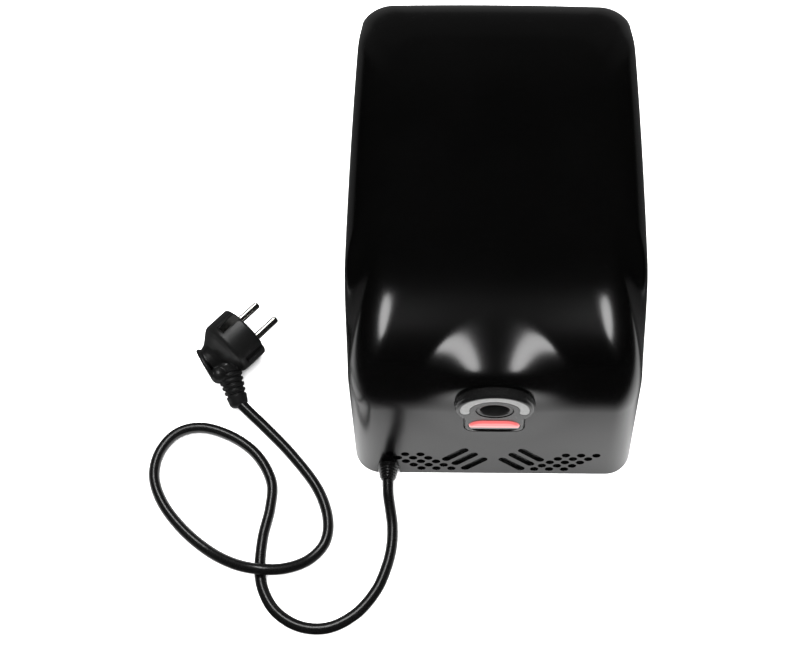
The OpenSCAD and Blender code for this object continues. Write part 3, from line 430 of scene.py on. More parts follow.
def gloss_cover(f):
    """Polished black moulding: almost flat, with faint haze and a trace of moulding ripple."""
    haze = f.noise(14, 3, 0.6)
    dust = f.ramp(f.noise(900, 2, 0.7), 0.62, 0.8)
    f.set(Base_Color=f.blend(haze, (0.0002, 0.0002, 0.0002), (0.0004, 0.0004, 0.0004)),
          Roughness=f.ramp(haze, 0.3, 0.7, 0.17, 0.2) + dust * 0.04, IOR=1.5)
    f.bump(f.noise(55, 2, 0.4), 0.012, 0.5)


def moulded(base, rough=0.5, grain=0.05, scale=900):
    """Moulded plastic: spark-eroded grain, slight flow marks and rubbed high spots."""
    def build(f):
        flow = f.noise(30, 3, 0.6, f.stretched(1, 0.3, 1))
        fine = f.noise(scale, 3, 0.65)
        dark = tuple(c * 0.78 for c in base)
        f.set(Base_Color=f.blend(f.ramp(flow, 0.3, 0.7), dark, base),
              Roughness=f.ramp(fine, 0.3, 0.7, rough - 0.07, rough + 0.08))
        f.bump(fine, grain, 0.6)
    return build


def plated(base, rough=0.32, spangle=90):
    """Zinc-plated sheet: rolled along its length, with dull crystal patches."""
    def build(f):
        rolled = f.noise(1400, 2, 0.7, f.stretched(1, 0.02, 1))
        patch = f.cells(spangle, out="Color")
        tone = f.add("ShaderNodeRGBToBW", None, 0, Color=patch)
        f.set(Base_Color=f.blend(f.ramp(tone, 0.2, 0.8), tuple(c * 0.82 for c in base), base),
              Metallic=1.0, Roughness=f.ramp(tone, 0.1, 0.9, rough, rough + 0.14) + rolled * 0.08)
        f.bump(rolled, 0.01, 0.4)
    return build


def turned(base, rough=0.22, pitch=3500):
    """Turned or ground metal: fine rings round the outlet axis and light smears."""
    def build(f):
        marks = f.noise(pitch, 2, 0.6, f.stretched(0.05, 1, 0.05))
        smear = f.noise(120, 3, 0.6)
        f.set(Base_Color=f.blend(smear, tuple(c * 0.85 for c in base), base), Metallic=1.0,
              Roughness=f.ramp(smear, 0.3, 0.7, rough, rough + 0.14))
        f.bump(marks, 0.008, 0.5)
    return build


def cast(base):
    """Die-cast alloy: frosted skin with shallow pits."""
    def build(f):
        skin = f.noise(700, 4, 0.7)
        f.set(Base_Color=f.blend(skin, tuple(c * 0.75 for c in base), base), Metallic=1.0,
              Roughness=f.ramp(skin, 0.3, 0.7, 0.38, 0.55))
        f.bump(skin, 0.05, 0.6)
    return build


def laminated(f):
    """Stacked steel sheets half a millimetre thick, seen on edge along Y."""
    layer = (f.axis("Y") * (TAU / 0.0006)).sin()
    rust = f.noise(260, 4, 0.7)
    f.set(Base_Color=f.blend(f.ramp(rust, 0.45, 0.75), (0.3, 0.31, 0.33), (0.2, 0.15, 0.12)),
          Metallic=0.9, Roughness=f.ramp(layer, -1, 1, 0.5, 0.34))
    f.bump(layer, 0.04, 0.6)


def wound(f):
    """Enamelled copper: rows of wire under a thin varnish, with painted shade darkening the valleys
    between the wires.
    """
    rows = (f.axis("Y") * (TAU / 0.0008) + f.noise(90, 2, 0.5) * 5).sin()
    varnish = f.noise(150, 3, 0.6)
    # painted shade: the colour darkens where rows falls into the valleys between wires and brightens on
    # their crests
    f.set(Base_Color=f.blend(f.ramp(rows, -1, 1), (0.2, 0.06, 0.02), (0.62, 0.25, 0.09)),
          Metallic=0.75, Roughness=f.ramp(varnish, 0.3, 0.7, 0.26, 0.42), Coat_Weight=0.5,
          Coat_Roughness=0.15)
    f.bump(rows, 0.12, 0.7)


def circuit(f):
    """Solder mask with copper tracks under it and dots of solder."""
    tracks = f.cells(420, "DISTANCE_TO_EDGE", f.stretched(1, 0.4, 0.4))
    track = f.ramp(tracks, 0.05, 0.09)
    solder = f.ramp(f.cells(330), 0.1, 0.16, 1, 0)
    green = f.blend(track, (0.03, 0.22, 0.08), (0.012, 0.11, 0.04))
    f.set(Base_Color=f.blend(solder, green, (0.6, 0.6, 0.62)), Metallic=solder * 0.9,
          Roughness=f.ramp(track, 0, 1, 0.3, 0.42))
    f.bump(solder + (1 - track) * 0.4, 0.06, 0.6)


def foam(f):
    """Open-cell foam: pores between thin struts, painted dark inside as painted shade."""
    pores_and_painted_shade = f.cells(650)
    # painted shade: the colour goes near black towards each pore's middle, where shade falls inside the
    # foam
    f.set(Base_Color=f.blend(f.ramp(pores_and_painted_shade, 0.2, 0.6), (0.012, 0.012, 0.012), (0.06, 0.06, 0.06)),
          Roughness=0.95)
    f.bump(pores_and_painted_shade, 0.5, 0.9)


def mica(f):
    """Mica sheet: amber layers with silvery flakes."""
    flake = f.cells(260, out="Color")
    tone = f.add("ShaderNodeRGBToBW", None, 0, Color=flake)
    f.set(Base_Color=f.blend(tone, (0.36, 0.28, 0.17), (0.62, 0.55, 0.4)),
          Roughness=f.ramp(tone, 0, 1, 0.2, 0.5), Coat_Weight=0.3)
    f.bump(tone, 0.03, 0.5)


def rubbery(base, rough=0.6):
    """Rubber: matt, faintly mottled, with a bloom in patches."""
    def build(f):
        bloom = f.noise(60, 4, 0.6)
        f.set(Base_Color=f.blend(f.ramp(bloom, 0.4, 0.75), base, tuple(c * 1.9 for c in base)),
              Roughness=f.ramp(bloom, 0.3, 0.7, rough - 0.06, rough + 0.08))
        f.bump(f.noise(1500, 2, 0.6), 0.03, 0.5)
    return build


def sheath(f):
    """Flexible PVC sheath: satin, with a slight waviness over the twisted cores."""
    wave = f.noise(160, 2, 0.5)
    fine = f.noise(2400, 2, 0.6)
    f.set(Base_Color=f.blend(wave, (0.001, 0.001, 0.001), (0.002, 0.002, 0.002)),
          Roughness=f.ramp(fine, 0.3, 0.7, 0.24, 0.32))
    f.bump(wave * 0.7 + fine * 0.1, 0.12, 0.5)


def plug_skin(f):
    """Moulded PVC plug: fine leathery grain, shinier on rubbed edges."""
    grain = f.cells(1500)
    rubbed = f.noise(70, 3, 0.6)
    f.set(Base_Color=f.blend(rubbed, (0.0015, 0.0015, 0.0015), (0.003, 0.003, 0.003)),
          Roughness=f.ramp(rubbed, 0.3, 0.7, 0.34, 0.46))
    f.bump(grain, 0.035, 0.5)


def bezel_skin(f):
    """Satin black bezel, with a fine even texture."""
    grain = f.noise(2200, 2, 0.6)
    f.set(Base_Color=f.blend(f.noise(60), (0.0025, 0.0025, 0.0025), (0.004, 0.004, 0.004)),
          Roughness=f.ramp(grain, 0.3, 0.7, 0.2, 0.28), IOR=1.38)
    f.bump(grain, 0.012, 0.5)


def nozzle_skin(f):
    """Dark grey satin ring with turned rings."""
    marks = f.noise(3000, 2, 0.6, f.stretched(0.1, 1, 0.1))
    f.set(Base_Color=f.blend(marks, (0.006, 0.006, 0.006), (0.012, 0.012, 0.012)),
          Roughness=f.ramp(marks, 0.3, 0.7, 0.3, 0.4))
    f.bump(marks, 0.015, 0.5)


def milky(f):
    """Light diffuser: milky moulding with soft depth and a speckled inner face."""
    cloud = f.noise(240, 3, 0.6)
    speck = f.ramp(f.noise(2600, 2, 0.7), 0.35, 0.7)
    f.set(Base_Color=f.blend(speck, (0.15, 0.15, 0.148), (0.22, 0.22, 0.217)),
          Roughness=f.ramp(cloud, 0.3, 0.7, 0.35, 0.5))
    f.bump(speck, 0.02, 0.4)


def red_lens(f):
    """Red translucent lens: a painted red glow on its upper half though no lamp is in it, a painted
    highlight along its lower edge, and painted shade on its dark foot.
    """
    height = f.axis("Z")
    # painted highlight: this ramp keeps the emission pale pink along the lens's lower edge and turns it
    # red higher up
    rise = f.ramp(height, (SENSOR_Z + 1.2) * MM, (SENSOR_Z + 4) * MM)
    # painted shade: below this ramp the lens's foot is painted near black, in base colour and in emission
    lit = f.ramp(height, (SENSOR_Z + 0.6) * MM, (SENSOR_Z + 1.2) * MM)
    grain = f.noise(1800, 2, 0.6)
    # painted glow: emission colour for a lens with no lamp in it; near black at the foot as painted shade,
    # pale pink at the lower edge as a painted highlight, red above
    painted_glow_and_highlight = f.blend(lit, (0.002, 0, 0), f.blend(rise, (1.0, 0.62, 0.6), (0.62, 0.15, 0.15)))
    f.set(Base_Color=f.blend(lit, (0.004, 0.001, 0.001), (0.35, 0.06, 0.06)), Emission_Color=painted_glow_and_highlight,
          Emission_Strength=0.45, Roughness=f.ramp(grain, 0.3, 0.7, 0.12, 0.2), IOR=1.49,
          Coat_Weight=0.4)
    f.bump(grain, 0.01, 0.4)


def epoxy(f):
    """Dark diode epoxy."""
    depth = f.noise(500, 2, 0.6)
    f.set(Base_Color=f.blend(depth, (0.02, 0.012, 0.04), (0.06, 0.03, 0.09)),
          Roughness=f.ramp(depth, 0.3, 0.7, 0.05, 0.12), Coat_Weight=0.8)


def carbon(f):
    """Carbon brush: pressed graphite with bright grains."""
    grains = f.ramp(f.noise(2500, 2, 0.7), 0.6, 0.75)
    f.set(Base_Color=f.blend(grains, (0.02, 0.02, 0.022), (0.14, 0.14, 0.15)),
          Metallic=grains * 0.6, Roughness=f.ramp(grains, 0, 1, 0.55, 0.3))
    f.bump(f.noise(900, 3, 0.7), 0.05, 0.6)


def segments(f):
    """Commutator copper, bright where the brushes run and dulled beside it."""
    worn = f.ramp(f.noise(40, 2, 0.5, f.stretched(0.2, 9, 0.2)), 0.4, 0.6)
    lines = f.noise(3600, 2, 0.6, f.stretched(0.04, 1, 0.04))
    f.set(Base_Color=f.blend(worn, (0.3, 0.13, 0.07), (0.62, 0.32, 0.18)), Metallic=1.0,
          Roughness=f.ramp(worn, 0, 1, 0.42, 0.24))
    f.bump(lines, 0.01, 0.5)


def oxidised(f):
    """Resistance wire: grey-brown oxide, blued in places."""
    tint = f.noise(70, 3, 0.6)
    f.set(Base_Color=f.blend(f.ramp(tint, 0.35, 0.65), (0.22, 0.17, 0.14), (0.16, 0.17, 0.24)),
          Metallic=0.85, Roughness=f.ramp(tint, 0.3, 0.7, 0.4, 0.55))
    f.bump(f.noise(1800, 3, 0.6), 0.02, 0.5)


def taped(f):
    """Transformer: yellow tape over the coil, lapped in bands."""
    lap = (f.axis("X") * (TAU / 0.006)).sin()
    f.set(Base_Color=f.blend(f.ramp(lap, 0.7, 1), (0.55, 0.44, 0.1), (0.36, 0.28, 0.07)),
          Roughness=f.ramp(f.noise(400), 0.3, 0.7, 0.3, 0.45), Coat_Weight=0.2)
    f.bump(lap, 0.05, 0.4)


def nickel(f):
    """Bright nickel over brass, with fine lengthwise wear from the socket."""
    turned_to_pins = (0, 0, -PLUG_WAY)
    wear = f.noise(1500, 2, 0.7, f.stretched(0.03, 1, 1, turned_to_pins))
    tone = f.noise(140, 3, 0.6)
    f.set(Base_Color=f.blend(tone, (0.6, 0.585, 0.55), (0.76, 0.75, 0.72)), Metallic=1.0,
          Roughness=f.ramp(wear, 0.3, 0.7, 0.14, 0.26))
    f.bump(wear, 0.006, 0.5)


FINISHES = {
    "cover_gloss": gloss_cover,
    "zinc_plate": plated((0.62, 0.63, 0.65)),
    "screw_steel": turned((0.6, 0.6, 0.62), 0.28),
    "bezel_satin": bezel_skin,
    "nozzle_satin": nozzle_skin,
    "light_diffuser": milky,
    "circuit_board": circuit,
    "red_lens": red_lens,
    "black_moulding": moulded((0.014, 0.014, 0.014), 0.5),
    "diode_epoxy": epoxy,
    "filter_foam": foam,
    "duct_moulding": moulded((0.012, 0.012, 0.013), 0.6),
    "mica_sheet": mica,
    "resistance_wire": oxidised,
    "housing_moulding": moulded((0.035, 0.038, 0.042), 0.55, 0.08, 700),
    "black_rubber": rubbery((0.014, 0.014, 0.014)),
    "lamination_steel": laminated,
    "copper_wire": wound,
    "bearing_steel": turned((0.66, 0.67, 0.69), 0.16),
    "cast_alloy": cast((0.6, 0.61, 0.63)),
    "brass_sheet": turned((0.66, 0.46, 0.18), 0.26),
    "transformer_wrap": taped,
    "relay_case": moulded((0.02, 0.07, 0.3), 0.32, 0.02),
    "capacitor_case": moulded((0.55, 0.4, 0.06), 0.35, 0.02),
    "terminal_moulding": moulded((0.66, 0.65, 0.61), 0.45, 0.03),
    "lead_insulation": moulded((0.2, 0.09, 0.04), 0.4, 0.02),
    "cord_pvc": sheath,
    "plug_pvc": plug_skin,
    "nickel_brass": nickel,
    "commutator_copper": segments,
    "impeller_moulding": moulded((0.03, 0.03, 0.034), 0.48),
    "carbon": carbon,
}
MADE = {}


def finish(slot):
    """The material of a slot, made once."""
    if slot not in MADE:
        f = Finish(slot)
        FINISHES[slot](f)
        MADE[slot] = f.material
    return MADE[slot]


# ---------------- the lead
def smooth_route(points, steps):
    """Curve through the points: each span is the cubic whose ends head along their neighbours."""
    p = np.array(points)
    ahead = np.vstack([p[1:2] - p[:1], (p[2:] - p[:-2]) / 2, p[-1:] - p[-2:-1]])
    t = np.linspace(0, 1, steps, endpoint=False)[:, None]
    spans = [
        (2 * t**3 - 3 * t**2 + 1) * p[i] + (t**3 - 2 * t**2 + t) * ahead[i]
        + (3 * t**2 - 2 * t**3) * p[i + 1] + (t**3 - t**2) * ahead[i + 1]
        for i in range(len(p) - 1)
    ]
    return np.vstack(spans + [p[-1:]])


def make_cord():
    """The lead as a round tube on its route."""
    route = smooth_route(CORD_ROUTE, 12)
    data = bpy.data.curves.new("mains_lead", "CURVE")
    data.dimensions = "3D"
    data.bevel_depth = CORD_R * MM
    data.bevel_resolution = 7
    data.use_fill_caps = True
    line = data.splines.new("POLY")
    line.points.add(len(route) - 1)
    line.points.foreach_set("co", np.hstack([route, np.ones((len(route), 1))]).ravel())
    line.use_smooth = True
    cord = bpy.data.objects.new("mains_lead", data)
    bpy.context.scene.collection.objects.link(cord)
    data.materials.append(finish("cord_pvc"))
    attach(cord, "root")
    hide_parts("power_cord")
    length = np.linalg.norm(np.diff(route, axis=0), axis=1).sum()
    return cord, float(length)


cord, cord_length = make_cord()


# ---------------- the cover
def ease(t):
    """Smooth step from 0 to 1 with no slope at its ends."""
    c = np.clip(t, 0, 1)
    return c * c * (3 - 2 * c)


def outline(half, y0, y1, radius, arc_steps, end_run, side_run):
    """Rounded rectangle: four quarter arcs, corner + radius (cos a, sin a), joined by straights."""
    points = []
    corners = [(half - radius, y1 - radius), (radius - half, y1 - radius),
               (radius - half, y0 + radius), (half - radius, y0 + radius)]
    for k, (cx, cy) in enumerate(corners):
        a = math.pi / 2 * (k + np.arange(arc_steps) / arc_steps)
        points.append(np.stack([cx + radius * np.cos(a), cy + radius * np.sin(a)], 1))
        last = math.pi / 2 * (k + 1)
        begin = np.array([cx + radius * math.cos(last), cy + radius * math.sin(last)])
        nx, ny = corners[(k + 1) % 4]
        end = np.array([nx + radius * math.cos(last), ny + radius * math.sin(last)])
        run = side_run if k % 2 else end_run
        points.append(begin + (end - begin) * (np.arange(run) / run)[:, None])
    return np.concatenate(points)


def cover_ring(tau, v, keep, inset, steps):
    """One ring of the cover: tau turns over the shoulder, v climbs the wall, keep closes the crown.
    A wall moves in by its height times the tangent of its draft, and by its shoulder's reach times
    1 - cos tau. Height is (front - up) v + up sin tau, where up is the shoulder's own height, and
    front falls off with the square of x and with y to the power 2.2. The sides bow out by a parabola."""
    depth = DEPTH - inset
    c, s = 1 - math.cos(tau), math.sin(tau)

    def climbed(up):
        return (depth - up) * v + up * s

    half = WIDTH / 2 - inset - climbed(SIDE_UP) * math.tan(SIDE_DRAFT) - (SIDE_IN - inset) * c
    y0 = NOSE_Y + inset + climbed(NOSE_UP) * math.tan(NOSE_LEAN) + (NOSE_IN - inset) * c
    y1 = FAR_Y - inset - climbed(FAR_UP) * math.tan(FAR_DRAFT) - (FAR_IN - inset) * c
    q = outline(half, y0, y1, CORNER_R - inset, *steps)
    bow = SIDE_BOW * (1 - (2 * q[:, 1] / LENGTH) ** 2) * q[:, 0] / half
    middle = (y0 + y1) / 2
    x = (q[:, 0] + bow) * keep
    y = middle + (q[:, 1] - middle) * keep
    up = (SIDE_UP + (NOSE_UP - SIDE_UP) * ease((y0 + NOSE_BLEND - q[:, 1]) / NOSE_BLEND)
          + (FAR_UP - SIDE_UP) * ease((q[:, 1] - y1 + FAR_BLEND) / FAR_BLEND))
    front = (depth - CROWN_X * (2 * x / WIDTH) ** 2
             - CROWN_Y * np.abs(2 * (y - CROWN_MID) / LENGTH) ** 2.2)
    z = (front - up) * v + up * s
    return snout(np.stack([x, y, z], 1), inset)


def snout(p, inset):
    """Pulls points near the outlet axis forward to the snout's flat face. The pull is a soft
    maximum of 0 and the depth behind the face, times a smooth step down from the bezel's radius."""
    away = np.hypot(p[:, 0], p[:, 2] - AXIS_Z)
    weight = ease((SNOUT_R - away) / (SNOUT_R - BEZEL_R)) * (p[:, 1] < 0)
    behind = p[:, 1] - SNOUT_Y - inset
    pull = (behind + np.sqrt(behind**2 + SNOUT_SOFT**2)) / 2
    p[:, 1] -= weight * pull
    return p


def cover_skin(inset, steps, walls, shoulder, crown):
    """All rings of one skin, then its crown point."""
    rings = [cover_ring(0, v, 1, inset, steps) for v in np.linspace(0, 1, walls, endpoint=False)]
    rings += [cover_ring(t, 1, 1, inset, steps) for t in np.linspace(0, math.pi / 2, shoulder)]
    rings += [cover_ring(math.pi / 2, 1, k, inset, steps)
              for k in np.linspace(1, 0, crown + 2)[1:-1]]
    tip = cover_ring(math.pi / 2, 1, 1e-4, inset, steps).mean(0)
    return np.concatenate(rings), len(rings), tip


# steps of a ring's corner, end and side, and rows of the wall, shoulder and crown
RING_STEPS = (14, 92, 110)
OUTER_ROWS, INNER_ROWS = (46, 60, 26), (14, 18, 6)


def cover_shell():
    """Outer and inner skin of the cover, closed along the rim."""
    parts, rims = [], []
    for inset, counts in ((0.0, OUTER_ROWS), (WALL, INNER_ROWS)):
        points, rows, tip = cover_skin(inset, RING_STEPS, *counts)
        cols = len(points) // rows
        faces = grid_faces(rows, cols, flip=inset > 0)
        top = (rows - 1) * cols
        cap = [[top + i, top + (i + 1) % cols, len(points)] for i in range(cols)]
        faces += [f[::-1] for f in cap] if inset > 0 else cap
        parts.append((np.vstack([points, tip]), faces))
        rims.append(cols)
    verts, faces = join(parts)
    cols, start = rims[0], len(parts[0][0])
    faces += [[(i + 1) % cols, i, start + i, start + (i + 1) % cols] for i in range(cols)]
    return verts, faces


def pill(length, radius, steps):
    """Bar with round ends, (sign(cos a) length / 2 + r cos a, r sin a); a length of 0 is a circle."""
    a = np.linspace(0, TAU, steps, endpoint=False) + 1e-4
    return np.stack([np.sign(np.cos(a)) * length / 2 + radius * np.cos(a), radius * np.sin(a)], 1)


def flared(outline_at, deep, edge, proud=1.5, steps=5):
    """Cutter through a face at height 0: straight walls, then a lip that grows by
    edge (1 - cos a) as its height nears the face by edge (1 - sin a)."""
    lip = [(edge * (1 - math.cos(a)), edge * (math.sin(a) - 1) + 0.02)
           for a in np.linspace(0, math.pi / 2, steps)]
    levels = [(0, -deep)] + lip + [(edge, proud)]
    return stack([np.column_stack([outline_at(g), np.full(len(outline_at(g)), h)]) for g, h in levels])


def bezel_outline(grow, steps=72):
    """The bezel's round head, an arc down to where the tab's sides meet it, and the tab's foot
    with its two quarter-round corners, seen along the outlet axis."""
    r, half, foot = BEZEL_R + grow, TAB_HALF + grow, TAB_FOOT + grow
    corner = TAB_CORNER + grow
    meet = math.degrees(math.asin(math.sqrt(r * r - half * half) / r))
    points = arc((0, 0), r, -meet, 180 + meet, steps)
    points += arc((corner - half, corner - foot), corner, 180, 270, 9)
    points += arc((half - corner, corner - foot), corner, 270, 360, 9)
    return np.array(points)


CUT_DEEP, VENT_EDGE = 7, 0.35
SCREW_Y, SCREW_Z = 90, 12
LEVER_X, LEVER_Z, LEVER_L, LEVER_R = (0, 40), 0.6, 8, 1.2
NOTCH_HALF, NOTCH_TOP = 6.8, 15.4
OPENING_PLAY = 0.16


def nose_cutters():
    """Round vents on a square lattice set at 45 degrees, and three slanted slots, on each side."""
    cutters = []
    for side in (-1, 1):
        for row in range(5):
            for col in range(3):
                x = side * VENT_PITCH * (VENT_X0 + row / 2 + col)
                v, f = flared(lambda g: pill(0, VENT_R + g, 28), CUT_DEEP, VENT_EDGE)
                cutters.append((oriented(v, on_nose(x, VENT_Z0 + row * VENT_PITCH / 2)), f))
        for x, z in zip(SLOT_X, SLOT_Z):
            v, f = flared(lambda g: pill(SLOT_L - SLOT_W, SLOT_W / 2 + g, 40), CUT_DEEP, VENT_EDGE)
            turned_to = on_nose(side * x, z) @ Matrix.Rotation(-side * SLOT_TURN, 4, "Z")
            cutters.append((oriented(v, turned_to), f))
    return cutters


def side_cutters():
    """Countersunk screw holes in both sides, and two lever slots in the far rim."""
    cutters = []
    sink = [(0, -7), (2.2, -7), (2.2, -2.2), (4.4, 0.2), (4.4, 3), (0, 3)]
    screw_x = box_mm("cover_screws")[1][0] + 0.1
    for side in (-1, 1):
        for y in (-SCREW_Y, SCREW_Y):
            place = Matrix.Translation((side * screw_x, y, SCREW_Z))
            turned_to = place @ Matrix.Rotation(side * math.pi / 2, 4, "Y")
            v, f = lathe(sink, 36)
            cutters.append((oriented(v, turned_to), f))
    for x in LEVER_X:
        level = Matrix.Translation((x, FAR_Y + 4, LEVER_Z)) @ Matrix.Rotation(math.pi / 2, 4, "X")
        bar = pill(LEVER_L, LEVER_R, 24)
        v, f = stack([np.column_stack([bar, np.full(len(bar), h)]) for h in (0, 12)])
        cutters.append((oriented(v, level), f))
    return cutters


def gland_cutter():
    """Arched notch for the strain relief, open to the wall side."""
    arch = arc((0, NOTCH_TOP - NOTCH_HALF), NOTCH_HALF, 0, 180, 24)
    shape = np.array([(NOTCH_HALF, -1)] + arch + [(-NOTCH_HALF, -1)])
    rows = [np.column_stack([GLAND_X + shape[:, 0], np.full(len(shape), y), shape[:, 1]])
            for y in (NOSE_Y + 18, NOSE_Y - 6)]
    return stack(rows)


def make_cover():
    """The cover: shell, then every opening cut with a rounded lip."""
    cover = blank("cover_shell", cover_shell())
    opening = flared(lambda g: bezel_outline(OPENING_PLAY + g), 20, 0.15, 30)
    opening = (oriented(opening[0], facing_out(SNOUT_Y)), opening[1])
    boolean(cover, blank("openings", join(nose_cutters() + side_cutters() + [gland_cutter()])))
    boolean(cover, blank("outlet_opening", opening))
    weigh = cover.modifiers.new("even_normals", "WEIGHTED_NORMAL")
    dress(cover, "root", "cover_gloss", 28, ["cover"])
    weigh.keep_sharp = True
    return cover


cover = make_cover()


# ---------------- outlet and sensor
def light_outline(grow, steps=64):
    """C shape: an outer and an inner arc joined by round ends, open towards the wall side."""
    mid, half = (LIGHT_OUT + LIGHT_IN) / 2, (LIGHT_OUT - LIGHT_IN) / 2 + grow
    a0, a1 = 90 - LIGHT_HALF, 90 + LIGHT_HALF
    end0, end1 = (arc((0, 0), mid, a, a, 1)[0] for a in (a0, a1))
    points = arc((0, 0), mid + half, a0, a1, steps)
    points += arc(end1, half, a1, a1 + 180, 14)[1:-1]
    points += arc((0, 0), mid - half, a1, a0, steps)
    points += arc(end0, half, a0 - 180, a0, 14)[1:-1]
    return np.array(points)


def rounded_block(outline_at, deep, edge, steps=6):
    """Solid from height -deep up to 0, its upper edge drawn in by edge (1 - cos a) as it rises."""
    lip = [(edge * (math.cos(a) - 1), edge * (math.sin(a) - 1))
           for a in np.linspace(0, math.pi / 2, steps)]
    levels = [(0, -deep)] + lip
    return stack([np.column_stack([outline_at(g), np.full(len(outline_at(g)), h)]) for g, h in levels])


def lens_outline(grow, steps=20):
    """Upper part of the sensor recess's bar: two arcs of radius r, cut level below the middle."""
    r = SENSOR_H / 2 - 0.1 + grow
    run = (SENSOR_L - SENSOR_H) / 2
    foot = LENS_DROP + grow
    low = -math.degrees(math.asin(foot / r))
    return np.array(arc((run, 0), r, low, 90, steps) + arc((-run, 0), r, 90, 180 - low, steps))


def make_outlet():
    """Bezel with its recesses, the nozzle ring, the light ring and the lens."""
    face = facing_out(OUTLET_Y)
    deep = BEZEL_BACK - OUTLET_Y
    v, f = rounded_block(lambda g: bezel_outline(g), deep, 2.2, 9)
    bezel = blank("bezel", (oriented(v, face), f))
    hole = flared(lambda g: pill(0, RING_R + 0.15 + g, 80), deep + 3, 0.3)
    groove = flared(lambda g: light_outline(0.12 + g), 3, 0.2)
    recess = flared(lambda g: pill(SENSOR_L - SENSOR_H, SENSOR_H / 2 + g, 64), deep + 3, 0.5)
    recess = (recess[0] + [0, SENSOR_Z - AXIS_Z, 0], recess[1])
    for name, shape in (("hole", hole), ("groove", groove), ("recess", recess)):
        boolean(bezel, blank(name, (oriented(shape[0], face), shape[1])))
    bezel.modifiers.new("even_normals", "WEIGHTED_NORMAL").keep_sharp = True
    dress(bezel, "root", "bezel_satin", 30, ["outlet_bezel"])

    ring = [(BORE_R, -deep), (RING_R, -deep)]
    ring += arc((RING_R - 0.6, -1.0), 0.6, 0, 90, 6)
    ring += arc((BORE_R + 1.0, -1.4), 1.0, 90, 180, 8)
    ring += [(BORE_R, -deep)]
    v, f = lathe(ring, 120)
    new_piece("nozzle_insert", (oriented(v, face), f), "root", "nozzle_satin", 40, ["nozzle_ring"])

    v, f = rounded_block(light_outline, 3, 0.35, 5)
    new_piece("light_diffuser_ring", (oriented(v, face), f), "root", "light_diffuser", 40, ["light_ring"])

    v, f = rounded_block(lens_outline, LENS_T, 1.6, 8)
    front = facing_out(OUTLET_Y - LENS_PROUD, SENSOR_Z)
    new_piece("sensor_lens", (oriented(v, front), f), "root", "red_lens", 50, ["sensor_window"])


make_outlet()


# ---------------- gland
def make_gland():
    """Tapered strain relief: a ribbed cone whose radius grows evenly with height outside the
    cover, then a collar and a stem inside it."""
    total = gland_high[1] - gland_low[1]
    outside, big, small = 9.0, 6.4, CORD_R + 0.9
    ribs, pitch, first_rib = 4, 1.7, 1.2
    profile = [(0, 0.6), (CORD_R + 0.1, 0.6), (CORD_R + 0.1, 0)]
    profile += arc((small - 0.4, 0.5), 0.5, -90, 0, 4)
    for i in range(ribs):
        h = first_rib + i * pitch
        r = small + (big - small) * h / outside
        profile += [(r, h), (r + 0.45, h + 0.25), (r + 0.5, h + 0.9), (r + 0.05, h + 1.15)]
    profile += [(big, outside - 0.8), (big, outside + WALL + 1.6), (big + 1.2, outside + WALL + 1.6)]
    profile += [(big + 1.2, outside + WALL + 4), (big - 1.4, outside + WALL + 4), (big - 1.4, total)]
    profile += [(0, total)]
    place = Matrix.Translation((GLAND_X, GLAND_END, GLAND_Z)) @ Matrix.Rotation(-math.pi / 2, 4, "X")
    v, f = lathe(profile, 64)
    return new_piece("strain_relief", (oriented(v, place), f), "root", "cord_pvc", 50, ["cord_gland"])


gland = make_gland()


# ---------------- plug
def body_sections():
    """Plug body: ellipses (x + w cos a, y + h sin a, z) from the pull lip up to the pin face."""
    rows = [    # z, w, h, x, y
        (0.0, 17.3, 17.3, 0, 0), (-0.5, 18.2, 18.2, 0, 0), (-1.2, 18.45, 18.45, 0, 0),
        (-9.0, 18.5, 18.5, 0, 0), (-17.0, 18.45, 18.45, 0, 0), (-18.5, 18.0, 17.9, 0, 0.2),
        (-20.5, 16.2, 16.4, -0.6, 0.8), (-23.0, 13.6, 13.9, -1.6, 1.6), (-25.5, 11.2, 11.4, -2.4, 2.2),
        (-28.5, 9.4, 9.6, -3.0, 1.8), (-32.6, 8.4, 8.6, -3.2, 1.5),
    ]
    a = np.linspace(0, TAU, 96, endpoint=False)
    return [np.column_stack([x + w * np.cos(a), y + h * np.sin(a), np.full(96, z)])
            for z, w, h, x, y in reversed(rows)]


def pull_lip():
    """Flat oval lip behind the body, rounded at its edge, leaning with the sleeve."""
    a = np.linspace(0, TAU, 96, endpoint=False)
    levels = [(-1.3, 0.8), (-0.9, 0.25), (-0.3, 0.0), (0.3, 0.0), (0.9, 0.25), (1.3, 0.8)]
    plate = stack([np.column_stack([0.8 + (12.3 - g) * np.cos(a), (10.4 - g) * np.sin(a),
                                    np.full(96, z)]) for z, g in levels])
    lean = Matrix.Translation(LIP_AT) @ Matrix.Rotation(LIP_TILT, 4, "Y")
    return oriented(plate[0], lean), plate[1]


def ribbed_sleeve():
    """Tapered sleeve: its radius falls evenly along it, with five grooves and a rounded end."""
    length = (Vector(SLEEVE_TO) - Vector(SLEEVE_FROM)).length
    big, small = 8.6, 6.2
    profile = [(0, -8.0), (4, -7.2), (7, -4.5), (big, -1.0)]
    grooves, pitch = 5, 3.5
    for i in range(grooves):
        h = 3.4 + i * pitch
        r = big + (small - big) * h / length
        profile += [(r, h), (r - 1.3, h + 0.4), (r - 1.4, h + 1.3), (r - 0.1, h + 1.7)]
    profile += arc((small - 4.0, length + 1.0), 4.0, 20, 90, 7)
    profile += [(0, length + 5.0)]
    v, f = lathe(profile, 72)
    return oriented(v, along(SLEEVE_FROM, SLEEVE_TO)), f


def block(size, place):
    """A box of the given size about a place, for cutting."""
    half = np.array(size) / 2
    corners = np.array([(-1, -1), (1, -1), (1, 1), (-1, 1)]) * half[:2]
    return stack([np.column_stack([corners, np.full(4, h)]) + place for h in (-half[2], half[2])])


GUIDE_GROOVE, CLIP_GROOVE, GROOVE_Z = (5, 5.4, 15), (7, 3.2, 15), -7
KNUCKLE_R = 5.5
CLIP_HALF, CLIP_T, CLIP_FOOT, CLIP_L = 2.7, 0.7, -14.2, 14.4


